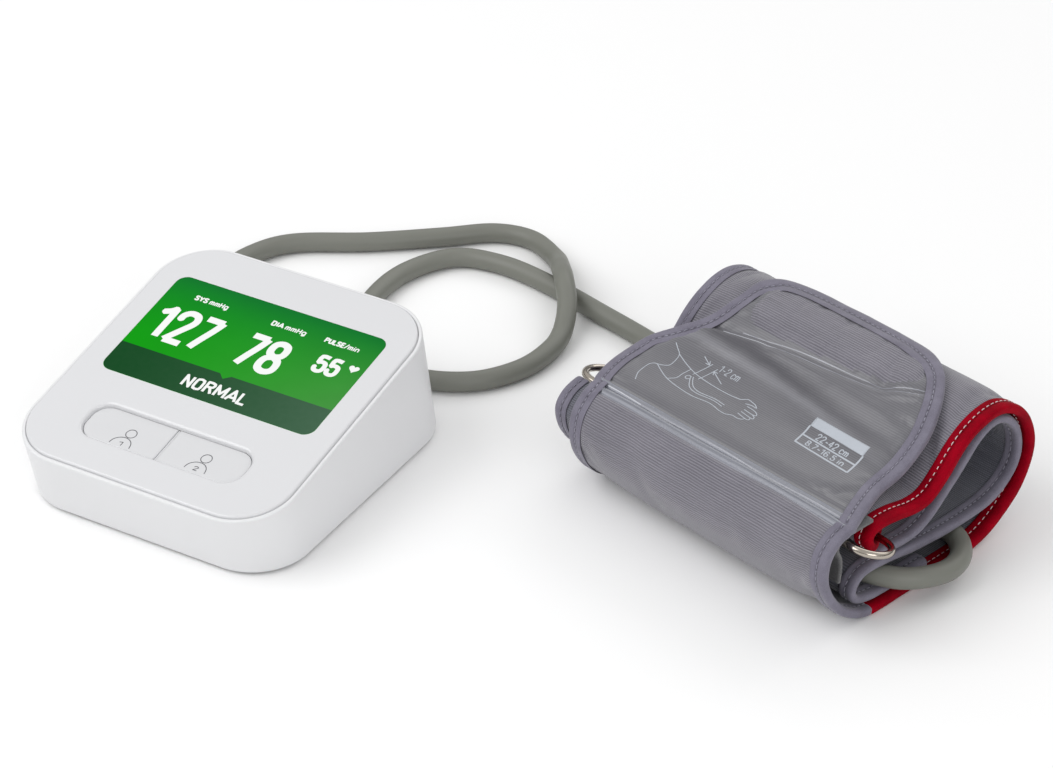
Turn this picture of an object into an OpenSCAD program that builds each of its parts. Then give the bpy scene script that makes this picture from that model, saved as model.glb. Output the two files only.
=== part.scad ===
// Upper arm blood pressure monitor: a wedge-shaped desktop unit, its air hose
// and its folded cuff, resting on one flat surface at z = 0.

/* [Monitor] */
// Width of the monitor
case_w = 130; // [126:1:140]
// Length of the monitor, measured up the slope of its face
case_l = 139.3; // [136:0.1:146]
// Corner radius of the face
case_r = 25.3; // [22:0.1:30]
// Slope of the face
tilt = 10.8; // [9:0.1:13]
// Height of the front rim
rim_h = 29.9; // [28:0.1:34]
// Wall of the housing
wall = 2.4; // [1.8:0.1:3]
// Width of the display window
screen_w = 104.6; // [98:0.1:106]
// Length of the display window, up the slope
screen_l = 62.3; // [56:0.1:64]
// Distance from the front rim to the display window
screen_s = 54.4; // [52:0.1:56]
// Width of the button pocket
pocket_w = 78; // [70:1:84]
// Length of the button pocket, up the slope
pocket_l = 19.6; // [17:0.1:22]
// Distance from the front rim to the button pocket
pocket_s = 18.3; // [15:0.1:20]

/* [Hose] */
// Outer diameter of the air hose
hose_d = 9; // [8:0.5:10]

/* [Cuff] */
// Width of the cuff, the length of the folded roll
cuff_w = 148; // [140:1:155]
// Thickness of the cuff fabric with its lining
cuff_t = 3; // [2.4:0.1:3.2]
// Turn of the roll against the monitor's front
cuff_turn = -16; // [-18:1:-14]
// Thickness of the edge binding on each side of the fabric
binding_t = 0.5; // [0.3:0.1:0.6]
// Width of the edge binding
binding_w = 6; // [5:1:8]
// Wire diameter of the metal ring
ring_wire_d = 3; // [2.4:0.2:3.2]

/* [Hidden] */
$fn = 48;

// Middle of the monitor's front rim, and the cuff roll's right front lower corner
monitor_at = [-119, -122, 0];
cuff_at = [157, -13, 0];

// Face stack, along the normal of the sloping face
panel_proud = 1;
panel_seat = -1.5;
panel_lip = 1.6;
deck_under = -4;
gap = 0.1;
depth = 90;

// Height of the housing's lower edge, and the base cover
skirt_z = 1;
floor_z = 3;
boss_r = 4;
boss_x = 52;
boss_y = [25, 125];
screw_r = 1.3;
foot_r = 6;
foot_x = 42;
foot_y = [34, 116];

// Buttons
button_top = -0.6;
button_split = 1.4;
button_travel = 0.8;
button_play = 0.45;
flange_t = 1;
stem_r = 2;
switch_top = -7.9;
button_s = pocket_s + pocket_l / 2;
button_x = pocket_w / 4;

// Air jack on the left wall
jack_y = 76;
jack_z = 17;
jack_bore_r = 3.55;

// Pump lying across the back of the case
pump_y = 114;
pump_z = 17.5;
motor_x = [-16, 18];
motor_r = 12;
head_r = 13;
head_x = [-36, -16];
shaft_r = 1;
shaft_play = 0.06;

// Exhaust valve, upright beside the manifold
valve_x = -33;
valve_y = 93;
valve_h = 17;
plunger_r = 2;
plunger_play = 0.08;
spring_z = [20.4, 24];

function turned(p, angle) = [
    p[0] * cos(angle) - p[1] * sin(angle),
    p[0] * sin(angle) + p[1] * cos(angle),
    p[2]
];
function on_cuff(p) = cuff_at + turned(p, cuff_turn);

// A smooth line through a few points, and the line beside it at a distance
function between(p0, p1, p2, p3, t) = 0.5 * (
    2 * p1 + (p2 - p0) * t + (2 * p0 - 5 * p1 + 4 * p2 - p3) * t * t
    + (3 * p1 - p0 - 3 * p2 + p3) * t * t * t
);
function smooth(points, steps) = let (last = len(points) - 1) [
    for (i = [0:last - 1], k = [0:steps - 1])
        between(points[max(i - 1, 0)], points[i], points[i + 1], points[min(i + 2, last)], k / steps),
    points[last]
];
function heading(path, i) =
    let (d = path[min(i + 1, len(path) - 1)] - path[max(i - 1, 0)]) d / norm(d);
function beside(path, distance) = [
    for (i = [0:len(path) - 1])
        let (h = heading(path, i)) path[i] + distance * [-h[1], h[0]]
];
function reversed(list) = [for (i = [len(list) - 1:-1:0]) list[i]];

// Outer face of the outer wrap, as the roll is seen from its right end: it starts at the
// fold around the ring, runs over the top and the back, under the roll and up its front
wrap_points = [
    [24, 31.4], [14, 29.6], [4.5, 29.6], [-1.8, 32.6], [-4, 37.6], [-1.5, 41.8], [5, 43.4], [14, 42.6],
    [24, 40.6], [32, 41.4], [39.5, 47], [47, 54.6], [55, 60.4], [65, 63.8], [75, 63.6], [85, 58.6],
    [92.5, 49.6], [96, 38.5], [94.5, 27.5], [89, 18], [80.5, 9.8], [70, 3.9], [58, 1.1], [40, 0.7],
    [20, 0.7], [0, 0.8], [-10, 4.4], [-18.8, 11.2], [-25.4, 20.4], [-29, 31], [-27.4, 41.2],
    [-20.5, 47.2], [-12, 49]
];
// Outer face of the print area, from the front ridge to the welded crease
label_points = [[-12, 49], [-2, 49.7], [8, 50.1], [18, 50.8], [28, 53.2], [37, 57.6], [46, 62.4]];
// Outer face of the flap, from the crease to its free edge
flap_points = [[46.3, 62.6], [52, 65.4], [59, 67.6], [67, 68.9], [75, 69], [82, 67.4]];
// Outer face of the inner layers: from under the ring, round the open eye, back under it and
// round the hose at the front
fold_points = [
    [6, 27.4], [14, 26.6], [24, 26.2], [32, 28.4], [40, 34], [48, 41], [55, 48], [62, 54], [70, 57.6],
    [78, 56.8], [85, 51.4], [89.5, 43.4], [90.6, 34.4], [87.6, 26.4], [81, 20.4], [72, 16.8],
    [60, 15.4], [48, 15.3], [36, 16], [24, 17.5], [12, 19.2], [2, 20.2], [-4, 19.2], [-7.4, 15.2],
    [-5.6, 11], [1.5, 8.7], [10, 8.1], [24, 8.1], [36, 8.1]
];
fold_t = 2.6;
fold_x = [-152, -2];
// Outer face of the layer that shows at the left of the roll's front
lobe_points = [
    [-12.6, 14.4], [-15, 16.4], [-19, 21], [-22.4, 28], [-23.2, 36], [-19.6, 41.4], [-13, 43.8]
];
lobe_t = 2.4;
lobe_x = [-153, -120];
wrap_line = smooth(wrap_points, 4);
label_line = smooth(label_points, 4);
flap_line = smooth(flap_points, 5);
fold_line = smooth(fold_points, 4);
lobe_line = smooth(lobe_points, 4);

// The bound outline of the print area and of the flap, seen from above
label_outline = [
    [0, -14], [-1, -6], [-4, 4], [-8, 14], [-9, 26], [-10.5, 38], [-12.6, 46], [-128.4, 46],
    [-132, 40], [-138, 34], [-145, 27], [-147.5, 20], [-147, 6], [-144.5, -6], [-142, -14]
];
flap_outline = [
    [-12.7, 46.3], [-17, 56], [-24, 66], [-33, 74], [-45, 79.4], [-60, 80.6], [-80, 80.8],
    [-100, 80.6], [-112, 79.6], [-121, 75], [-125.4, 67], [-125.6, 56], [-128.3, 46.3]
];
flap_edge = smooth(flap_outline, 4);

// Route of the air hose: free on the table, then through the roll and round to the bladder
hose_free = [
    [-193.5, -32, 17], [-193.5, -20, 16.5], [-194.5, -4, 11.5], [-198, 16, 5.6], [-202, 38, 4.5],
    [-204.5, 62, 4.5], [-202, 84.5, 4.5], [-191, 103, 4.5], [-162, 121, 4.5], [-135, 141.5, 4.5],
    [-116, 156.8, 4.5], [-98, 160, 4.5], [-80, 150, 5.8], [-68, 135, 11.6], [-59, 122.5, 14.3],
    [-51, 111, 10.6], [-45.5, 97, 5.8], [-44, 83, 4.5], [-47, 65, 4.5], [-58, 48, 4.5],
    [-75, 38, 4.5], [-94, 35.5, 4.5], [-113, 42, 4.5], [-127, 58, 4.5], [-134, 82, 4.5],
    [-133, 107, 4.5], [-121, 128.5, 4.5], [-100, 134.5, 4.5], [-74, 131, 4.5], [-37, 120, 4.5],
    [-15, 113, 4.7], [7, 102, 7.4]
];
hose_in_cuff = [
    [-142, 59.5, 10.1], [-80, 57, 9.6], [-18, 57, 9.5], [3, 50, 9.6], [10.5, 33, 10.8], [3, 14, 12.8],
    [-16, 4, 14.1], [-30, 3, 14.2]
];
hose_route = smooth(concat(hose_free, [for (p = hose_in_cuff) on_cuff(p)]), 2);
nipple_at = [-30, 3, 14.2];

// ---- Shared shapes ----

module on_monitor() {
    translate(monitor_at) children();
}

module on_face() {
    on_monitor() translate([0, 0, rim_h]) rotate([tilt, 0, 0]) children();
}

module at_cuff() {
    translate(cuff_at) rotate(cuff_turn) children();
}

module rounded(w, l, r) {
    translate([-w / 2 + r, 0]) square([w - 2 * r, l]);
    translate([-w / 2, r]) square([w, l - 2 * r]);
    for (x = [-1, 1], y = [r, l - r]) translate([x * (w / 2 - r), y]) circle(r);
}

// A slab parallel to the face, between two depths
module face_slab(w, l, r, s, low, high) {
    on_face() translate([0, s, low]) linear_extrude(high - low) rounded(w, l, r);
}

// The case's own outline, drawn in by a margin
module case_slab(margin, low, high) {
    face_slab(case_w - 2 * margin, case_l - 2 * margin, case_r - margin, margin, low, high);
}

module above(z) {
    on_monitor() translate([-case_w, -case_l, z]) cube([2 * case_w, 3 * case_l, depth]);
}

module along_x(r, from, to) {
    translate([from, 0, 0]) rotate([0, 90, 0]) cylinder(r = r, h = to - from);
}

module along_y(r, from, to) {
    translate([0, from, 0]) rotate([-90, 0, 0]) cylinder(r = r, h = to - from);
}

module screw(r, length, head_r, head_h) {
    difference() {
        union() {
            cylinder(r = r, h = length);
            translate([0, 0, -head_h]) cylinder(r = head_r, h = head_h + 0.01);
        }
        for (a = [0, 90]) rotate(a) translate([-head_r * 0.6, -0.25, -head_h - 1])
            cube([head_r * 1.2, 0.5, 1 + head_h / 2]);
    }
}

// A round tube or wire along a path
module swept(path, r, sides) {
    rings = len(path);
    points = [
        for (i = [0:rings - 1])
            let (
                d = path[min(i + 1, rings - 1)] - path[max(i - 1, 0)],
                t = d / norm(d),
                c = cross(t, [0, 0, 1]),
                u = norm(c) < 0.05 ? [1, 0, 0] : c / norm(c),
                v = cross(u, t)
            )
            for (k = [0:sides - 1]) path[i] + r * (cos(360 * k / sides) * u + sin(360 * k / sides) * v)
    ];
    sides_faces = [
        for (i = [0:rings - 2], k = [0:sides - 1])
            let (n = (k + 1) % sides)
            [i * sides + k, i * sides + n, (i + 1) * sides + n, (i + 1) * sides + k]
    ];
    start = [[for (k = [sides - 1:-1:0]) k]];
    end = [[for (k = [0:sides - 1]) (rings - 1) * sides + k]];
    polyhedron(points, concat(sides_faces, start, end));
}

// A layer of cuff between two distances from its outer face, along part of the roll
module sheet_block(line, low, high, from, to) {
    translate([from, 0, 0]) rotate([90, 0, 90]) linear_extrude(to - from)
        polygon(concat(beside(line, high), reversed(beside(line, low))));
}

module layer(line, low, high, from, to) {
    at_cuff() sheet_block(line, low, high, from, to);
}

module outline_block(outline) {
    at_cuff() linear_extrude(depth) polygon(outline);
}

// ---- Monitor case ----

module upper_housing() {
    color("white") difference() {
        union() {
            difference() {
                intersection() {
                    case_slab(0, -depth, 0);
                    above(skirt_z);
                }
                case_slab(wall, -depth, deck_under);
            }
            intersection() {
                case_slab(wall / 2, -depth, deck_under + 1);
                on_monitor() for (x = [-boss_x, boss_x], y = boss_y)
                    translate([x, y, floor_z + gap]) cylinder(r = boss_r, h = depth);
            }
            frame_posts();
        }
        case_slab(panel_lip, panel_seat, panel_proud);
        face_slab(screen_w + 1.4, screen_l + 1.7, 2, screen_s - 0.85, deck_under - 2, 0);
        face_slab(pocket_w, pocket_l, 8, pocket_s, deck_under - 1, 0);
        on_monitor() for (x = [-boss_x, boss_x], y = boss_y)
            translate([x, y, 0]) cylinder(r = screw_r, h = 22);
        on_face() for (x = [-1, 1], s = frame_screw_s)
            translate([x * frame_screw_x, s, deck_under - 3]) cylinder(r = 0.95, h = 4.5);
        on_monitor() translate([0, jack_y, jack_z]) along_x(6.1, -case_w, -case_w / 2 + wall + 1);
        on_monitor() translate([-20, case_l - 5, 8.2]) cube([9.6, 20, 4]);
    }
}

frame_screw_x = 58.2;
frame_screw_s = [66, 105];
frame_top = deck_under - 1.6;

module frame_posts() {
    on_face() for (x = [-1, 1], s = frame_screw_s)
        translate([x * frame_screw_x, s, frame_top]) cylinder(r = 2.4, h = 1.8);
}

module front_panel() {
    margin = panel_lip + gap;
    color([0.95, 0.95, 0.97]) difference() {
        union() {
            case_slab(margin, panel_seat + gap, panel_proud - 0.5);
            case_slab(margin + 0.5, panel_seat + gap, panel_proud);
        }
        face_slab(screen_w + 2 * gap, screen_l + 2 * gap, 5 + gap, screen_s - gap, -depth, depth);
        face_slab(pocket_w, pocket_l, 8, pocket_s, -depth, depth);
    }
}

module display_lens() {
    color([0.1, 0.3, 0.12]) face_slab(screen_w, screen_l, 5, screen_s, panel_seat + gap, panel_proud);
}

module display_panel() {
    color("green") face_slab(screen_w + 1, screen_l + 1.3, 1.5, screen_s - 0.65, -5.3, panel_seat);
}

module backlight_plate() {
    color("white") face_slab(screen_w, screen_l, 1.5, screen_s, -6.8, -5.4);
}

module display_frame() {
    color([0.2, 0.2, 0.22]) difference() {
        union() {
            face_slab(110, 69, 3, screen_s - 3.3, -8.2, frame_top - gap);
            on_face() for (x = [-1, 1], s = frame_screw_s)
                translate([x * frame_screw_x, s, -7.2]) cylinder(r = 3.4, h = 7.2 + frame_top - gap);
        }
        face_slab(screen_w + 0.6, screen_l + 0.6, 2, screen_s - 0.3, -7, depth);
        face_slab(70, 40, 3, screen_s + 11, -depth, depth);
        face_slab(screen_w + 1.6, screen_l + 1.9, 2, screen_s - 0.95, frame_top - 0.1, depth);
        on_face() for (x = [-1, 1], s = frame_screw_s)
            translate([x * frame_screw_x, s, -20]) cylinder(r = 1.1, h = 30);
    }
}

module frame_screws() {
    color("silver") on_face() for (x = [-1, 1], s = frame_screw_s)
        translate([x * frame_screw_x, s, -7.3]) screw(0.85, 4.6, 1.8, 1.2);
}

// ---- Buttons and their board ----

module half_pill(side_x, margin, low, high) {
    intersection() {
        face_slab(pocket_w - 2 * margin, pocket_l - 2 * margin, 8 - margin, pocket_s + margin, low, high);
        on_face() translate([side_x > 0 ? button_split / 2 : -depth, 0, -depth])
            cube([depth - (side_x > 0 ? button_split / 2 : button_split / 2), 60, 2 * depth]);
    }
}

module user_button(side_x) {
    half_pill(side_x, button_play, deck_under - 0.4, button_top - 0.4);
    half_pill(side_x, button_play + 0.4, deck_under - 0.4, button_top);
    half_pill(side_x, -0.9, deck_under - 0.4 - flange_t, deck_under - 0.39);
    on_face() translate([side_x * button_x, button_s, switch_top + button_travel + 0.1])
        cylinder(r = stem_r, h = deck_under - 1 - switch_top - button_travel);
}

module user_button_1() {
    color([0.9, 0.9, 0.92]) user_button(-1);
}

module user_button_2() {
    color([0.9, 0.9, 0.92]) user_button(1);
}

board_top = -11.8;
board_screw_x = 33;

module button_board() {
    color("darkgreen") difference() {
        face_slab(78, 20, 2, pocket_s, board_top - 1.2, board_top);
        on_face() for (x = [-1, 0, 1])
            translate([x * board_screw_x, pocket_s + 4, -30]) cylinder(r = 1.1, h = 30);
    }
    color("white") on_face() for (x = [-1, 0, 1]) difference() {
        translate([x * board_screw_x, pocket_s + 4, board_top + gap])
            cylinder(r = 2.2, h = -board_top - 6.8);
        translate([x * board_screw_x, pocket_s + 4, board_top - 1]) cylinder(r = 0.95, h = 6);
    }
}

module button_switches() {
    color("dimgray") on_face() for (x = [-1, 1]) {
        translate([x * button_x - 3, button_s - 3, board_top + gap]) cube([6, 6, 3]);
        translate([x * button_x, button_s, board_top + 3]) cylinder(r = 1.7, h = switch_top - board_top - 3);
    }
}

// ---- Main board and battery ----

main_z = 16;
main_screw_x = 42;
main_screw_y = [28, 78];

module board_screws() {
    color("silver") {
        on_monitor() for (x = [-1, 1], y = main_screw_y)
            translate([x * main_screw_x, y, main_z + 1.7]) rotate([180, 0, 0]) screw(0.85, 7, 1.8, 1.2);
        on_face() for (x = [-1, 0, 1])
            translate([x * board_screw_x, pocket_s + 4, board_top - 1.3]) screw(0.85, 5, 1.8, 1.2);
    }
}

module main_board() {
    color("darkgreen") on_monitor() difference() {
        translate([-47, 22, main_z]) cube([94, 62, 1.6]);
        for (x = [-1, 1], y = main_screw_y)
            translate([x * main_screw_x, y, 0]) cylinder(r = 1.1, h = 40);
    }
}

module board_chips() {
    color([0.1, 0.1, 0.11]) on_monitor() translate([0, 0, main_z + 1.6 + gap]) {
        translate([-8, 46, 0]) cube([14, 14, 1.4]);
        translate([14, 40, 0]) cube([10, 7, 1.2]);
        translate([16, 62, 0]) cube([6, 6, 1.6]);
        translate([-30, 40, 0]) cube([5, 9, 1.4]);
        translate([-4, 68, 0]) cube([20, 6, 2.4]);
        for (x = [-20:8:36]) translate([x, 32, 0]) cube([3, 1.6, 1]);
    }
}

module wireless_module() {
    color("silver") on_monitor() translate([28, 52, main_z + 1.6 + gap]) difference() {
        cube([16, 20, 2.6]);
        translate([1, 1, -1]) cube([14, 18, 3]);
    }
}

sensor_at = [-34, 70];

module pressure_sensor() {
    color("dimgray") on_monitor() translate([sensor_at[0], sensor_at[1], main_z + 1.6 + gap]) {
        translate([-6, -6, 0]) cube([12, 12, 4.6]);
        difference() {
            cylinder(r = 1.6, h = 9.4);
            translate([0, 0, 5]) cylinder(r = 0.7, h = 10);
        }
    }
}

module battery_pack() {
    color("steelblue") on_monitor() {
        translate([-34, 26, floor_z + 0.4]) cube([68, 44, 9]);
        translate([-8, 70, floor_z + 3]) cube([16, 4, 5]);
    }
}

module battery_clamp() {
    color("white") on_monitor() for (side = [-1, 1]) {
        translate([side * 35.9 - 1.5, 34, floor_z + gap]) cube([3, 28, 10.6]);
        translate([side * 34.9 - 2, 34, floor_z + 9.7]) cube([4, 28, 1.2]);
    }
}

// ---- Pump, valve and air path ----

module pump_cradle() {
    color([0.25, 0.25, 0.27]) on_monitor() difference() {
        union() {
            translate([-34, pump_y - 13, floor_z + gap]) cube([14, 26, 12]);
            translate([-8, pump_y - 13, floor_z + gap]) cube([20, 26, 12]);
        }
        translate([0, pump_y, pump_z]) {
            along_x(head_r + 0.1, -40, -18);
            along_x(motor_r + 0.1, -20, 30);
        }
    }
}

module pump_motor() {
    color("silver") on_monitor() translate([0, pump_y, pump_z]) difference() {
        along_x(motor_r, motor_x[0] + gap, motor_x[1]);
        along_x(9.5, motor_x[0] + 2, motor_x[1] - 2);
        along_x(shaft_r + shaft_play, motor_x[0] - 5, motor_x[1] + 5);
    }
}

module pump_rotor() {
    color("peru") on_monitor() translate([0, pump_y, pump_z]) {
        along_x(shaft_r, head_x[0] + 6, motor_x[1] + 2);
        along_x(8, motor_x[0] + 4, motor_x[1] - 6);
        translate([0, 0, 1.2]) along_x(5, head_x[0] + 8, head_x[1] - 4);
    }
}

module pump_head() {
    color("white") on_monitor() {
        translate([0, pump_y, pump_z]) difference() {
            along_x(head_r, head_x[0], head_x[1]);
            along_x(9.5, head_x[0] + 3, head_x[1] - 1.5);
            along_x(3, head_x[0] + 3, head_x[1] + 1);
        }
        translate([-27, pump_y, pump_z + head_r - 2]) difference() {
            cylinder(r = 2.2, h = 5);
            translate([0, 0, 3]) cylinder(r = 1, h = 8);
        }
    }
}

module exhaust_valve() {
    color([0.75, 0.75, 0.78]) on_monitor() translate([valve_x, valve_y, floor_z + gap]) difference() {
        union() {
            translate([-7, -6, 0]) cube([14, 12, valve_h]);
            translate([0, 0, 14 - gap - floor_z + 3]) along_x(1.9, -10.4, -6);
        }
        translate([0, 0, 3]) cylinder(r = plunger_r + plunger_play, h = valve_h);
        translate([0, 0, 14 - gap - floor_z + 3]) along_x(1, -20, 0);
    }
}

module valve_plunger() {
    color("silver") on_monitor() translate([valve_x, valve_y, 0]) {
        translate([0, 0, 9]) cylinder(r = plunger_r, h = spring_z[1] + 0.3 - 9);
        translate([0, 0, spring_z[1] + 0.2]) cylinder(r = 4, h = 1.4);
    }
}

module valve_spring() {
    turns = 3;
    r = 2.9;
    wire_r = 0.3;
    rise = spring_z[1] - spring_z[0] - 2 * wire_r;
    color("silver") on_monitor() translate([valve_x, valve_y, spring_z[0] + wire_r])
        swept([for (i = [0:turns * 12]) [r * cos(30 * i), r * sin(30 * i), rise * i / (turns * 12)]], wire_r, 6);
}

manifold_at = [-52, 93];

module air_manifold() {
    x = manifold_at[0];
    y = manifold_at[1];
    color("white") on_monitor() difference() {
        union() {
            translate([x - 5, y - 5, floor_z + gap]) cube([10, 10, 19]);
            for (d = [-2.6, 2.6]) translate([x + d, y, 20]) cylinder(r = 1.9, h = 7);
            translate([x, y, jack_z]) along_y(1.9, -10, 0);
            translate([x, y, jack_z]) along_x(1.9, 0, 7.8);
        }
        for (d = [-2.6, 2.6]) translate([x + d, y, 15]) cylinder(r = 0.9, h = 20);
        translate([x, y, jack_z]) along_y(0.9, -20, 0);
        translate([x, y, jack_z]) along_x(0.9, -2, 20);
    }
}

module inner_tubes() {
    x = manifold_at[0];
    y = manifold_at[1];
    pump_path = smooth([
        [-27, pump_y, 34.1], [-27.2, pump_y - 0.4, 36.8], [-29.5, pump_y - 3, 38.7],
        [-35, pump_y - 9, 38.2], [-43, y + 6, 36.2], [x + 4, y + 1.2, 33.6], [x + 2.6, y, 30.6],
        [x + 2.6, y, 27.3]
    ], 4);
    sensor_path = smooth([
        [sensor_at[0], sensor_at[1], 27.3], [sensor_at[0] - 0.2, sensor_at[1] + 0.2, 29.4],
        [sensor_at[0] - 2.4, sensor_at[1] + 2.6, 31.4], [-43, 80, 31.6], [-51, 88, 31.8],
        [x - 2.3, y - 1.2, 31.2], [x - 2.6, y, 29.4], [x - 2.6, y, 27.3]
    ], 4);
    color([0.85, 0.86, 0.82]) {
        on_monitor() {
            swept(pump_path, 2.4, 10);
            swept(sensor_path, 2.2, 10);
        }
        on_monitor() translate([x, 0, jack_z]) difference() {
            along_y(2.9, jack_y + 3.6, y - 5.2);
            along_y(1.95, jack_y, y);
        }
        on_monitor() translate([0, y, jack_z]) difference() {
            along_x(2.9, x + 5.2, valve_x - 7.2);
            along_x(2.25, x, valve_x);
        }
    }
}

module air_jack() {
    x = manifold_at[0];
    color([0.85, 0.85, 0.88]) on_monitor() translate([0, jack_y, jack_z]) difference() {
        union() {
            along_x(6, -case_w / 2, x - 3);
            along_x(8, -case_w / 2 + wall + gap, -case_w / 2 + wall + 2.2);
            along_x(3.4, x - 4, x + 3.4);
            translate([x, 0, 0]) along_y(1.9, 0, 6.8);
        }
        along_x(jack_bore_r, -case_w, -case_w / 2 + 7.4);
        along_x(0.9, -case_w / 2, x);
        translate([x, 0, 0]) along_y(0.9, 0, 20);
    }
}

module charging_port() {
    color("silver") on_monitor() translate([-19.2, case_l - 1.6, 8.6]) difference() {
        cube([8, 6, 3.2]);
        translate([0.5, 0.6, 0.5]) cube([7, 10, 2.2]);
    }
}

module port_board() {
    color("darkgreen") on_monitor() {
        translate([-26, case_l - 10, 7.3]) cube([22, 13, 1.2]);
        for (x = [-24, -8]) translate([x, case_l - 9, floor_z + gap]) cube([2, 10, 4.1]);
    }
}

// ---- Base ----

module base_cover() {
    color("white") difference() {
        union() {
            intersection() {
                case_slab(wall + 0.2, -depth, 0);
                on_monitor() translate([-case_w, -case_l, skirt_z])
                    cube([2 * case_w, 3 * case_l, floor_z - skirt_z]);
            }
            on_monitor() for (x = [-1, 1], y = main_screw_y)
                translate([x * main_screw_x, y, floor_z - 0.5]) cylinder(r = 2.6, h = main_z - floor_z + 0.4);
        }
        on_monitor() {
            for (x = [-1, 1], y = main_screw_y)
                translate([x * main_screw_x, y, main_z - 8]) cylinder(r = 0.95, h = 20);
            for (x = [-boss_x, boss_x], y = boss_y) translate([x, y, 0]) {
                cylinder(r = screw_r + 0.3, h = 10);
                cylinder(r = 2.9, h = skirt_z + 1.3);
            }
            for (x = [-foot_x, foot_x], y = foot_y) translate([x, y, 0]) cylinder(r = foot_r + gap, h = 1.8);
        }
    }
}

module case_screws() {
    color("silver") on_monitor() for (x = [-boss_x, boss_x], y = boss_y)
        translate([x, y, skirt_z + 1.2]) screw(1.2, 12, 2.6, 1);
}

module rubber_feet() {
    color([0.3, 0.3, 0.32]) on_monitor() for (x = [-foot_x, foot_x], y = foot_y)
        translate([x, y, 0]) cylinder(r = foot_r, h = 1.7);
}

// ---- Hose ----

plug_x = -74.5;
plug_arm = 13.6;

module hose_plug() {
    color([0.45, 0.46, 0.44]) on_monitor() translate([0, jack_y, jack_z]) {
        along_x(3.5, -case_w / 2 + 0.2 - 1.3, -case_w / 2 + 6.6);
        along_x(6.6, -case_w / 2 - 3, -case_w / 2 - 1);
        along_x(5.8, plug_x, -case_w / 2 - 2.9);
        translate([plug_x, 0, 0]) {
            sphere(r = 5.8);
            along_y(5.4, 0, plug_arm);
        }
    }
}

module plug_seal() {
    color([0.2, 0.2, 0.2]) on_monitor() translate([0, jack_y, jack_z]) difference() {
        along_x(6, -case_w / 2 - 0.9, -case_w / 2 - 0.1);
        along_x(3.6, -case_w, 0);
    }
}

module air_hose() {
    color([0.46, 0.47, 0.44]) swept(hose_route, hose_d / 2, 10);
}

// ---- Cuff ----

module bladder_nipple() {
    color([0.3, 0.3, 0.32]) at_cuff() translate(nipple_at) {
        along_x(4.4, -12, -0.1);
        along_x(5.4, -15, -11.9);
        translate([-13.5, 0, 0]) cylinder(r = 3, h = 4.6);
    }
}

bladder_line = [for (i = [64:92]) fold_line[i]];

module air_bladder() {
    color("tan") layer(bladder_line, -1.9, -0.7, -146, -8);
}

module cuff_wrap() {
    color([0.49, 0.49, 0.52]) {
        layer(wrap_line, -cuff_t, 0, -cuff_w, 0);
        intersection() {
            layer(label_line, -cuff_t, 0, -cuff_w, 0);
            outline_block(label_outline);
        }
    }
}

module cuff_fold() {
    color([0.45, 0.45, 0.48]) {
        difference() {
            layer(fold_line, -fold_t, 0, fold_x[0], fold_x[1]);
            layer(bladder_line, -2, -0.6, -146.2, -7.8);
        }
        layer(lobe_line, -lobe_t, 0, lobe_x[0], lobe_x[1]);
    }
}

module flap_sheet(low, high) {
    intersection() {
        layer(flap_line, low, high, -cuff_w, 0);
        outline_block(flap_edge);
    }
}

module cuff_flap() {
    color([0.49, 0.49, 0.52]) difference() {
        flap_sheet(-cuff_t, 0);
        hook_recess(0.2);
    }
}

// The hook pad is let into the underside of the flap
module hook_recess(grow) {
    intersection() {
        layer(flap_line, -cuff_t - 1, -cuff_t + 1, -cuff_w, 0);
        at_cuff() translate([-104 - grow, 55 - grow, 0]) cube([56 + 2 * grow, 17 + 2 * grow, depth]);
    }
}

module hook_pad() {
    color([0.2, 0.2, 0.22]) intersection() {
        layer(flap_line, -cuff_t - 0.2, -cuff_t + 0.9, -cuff_w, 0);
        hook_recess(0);
    }
}

// The flap's binding: the same outline, a little thicker than the flap, open over its middle
module flap_binding() {
    inner = beside(flap_edge, binding_w);
    color([0.51, 0.5, 0.56]) difference() {
        intersection() {
            layer(flap_line, -cuff_t - binding_t, binding_t, -cuff_w, 0);
            outline_block(beside(flap_edge, -binding_t));
            at_cuff() translate([-cuff_w, 46.5, 0]) cube([cuff_w, 60, depth]);
        }
        flap_sheet(-cuff_t - 0.02, 0.02);
        outline_block(concat([[-20, 40]], [for (i = [3:len(inner) - 4]) inner[i]], [[-122, 40]]));
    }
}

// A folded tape along an end of the roll: it covers both faces and the cut edge. side is 1
// at the right end and -1 at the left end.
module end_binding(line, t, edge, side) {
    tape = [edge - side * binding_w, edge + side * binding_t];
    slot = [edge - side * (binding_w + 1), edge];
    difference() {
        layer(line, -t - binding_t, binding_t, min(tape), max(tape));
        layer(line, -t - 0.02, 0.02, min(slot), max(slot));
    }
}

red_end = 97;
red_line = [for (i = [0:red_end]) wrap_line[i]];
grey_line = [for (i = [red_end:len(wrap_line) - 1]) wrap_line[i]];

module red_binding() {
    color([0.67, 0, 0.1]) end_binding(red_line, cuff_t, 0, 1);
}

module wrap_binding() {
    color([0.51, 0.5, 0.56]) {
        end_binding(grey_line, cuff_t, 0, 1);
        end_binding(wrap_line, cuff_t, -cuff_w, -1);
    }
}

module fold_binding() {
    color([0.51, 0.5, 0.56]) {
        end_binding(fold_line, fold_t, fold_x[1], 1);
        end_binding(fold_line, fold_t, fold_x[0], -1);
        end_binding(lobe_line, lobe_t, lobe_x[0], -1);
    }
}

// Long wire ring across the cuff, turned a little against it: two straight legs joined by
// half rings
ring_r = 9.5;
ring_x = [-150.5, 1.5];
ring_mid = [-73, -0.9, 0];
ring_turn = -3.7;
ring_lean = -17;

module at_ring() {
    at_cuff() translate(ring_mid) rotate(ring_turn) translate([-ring_mid[0], 0, 0]) children();
}

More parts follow.
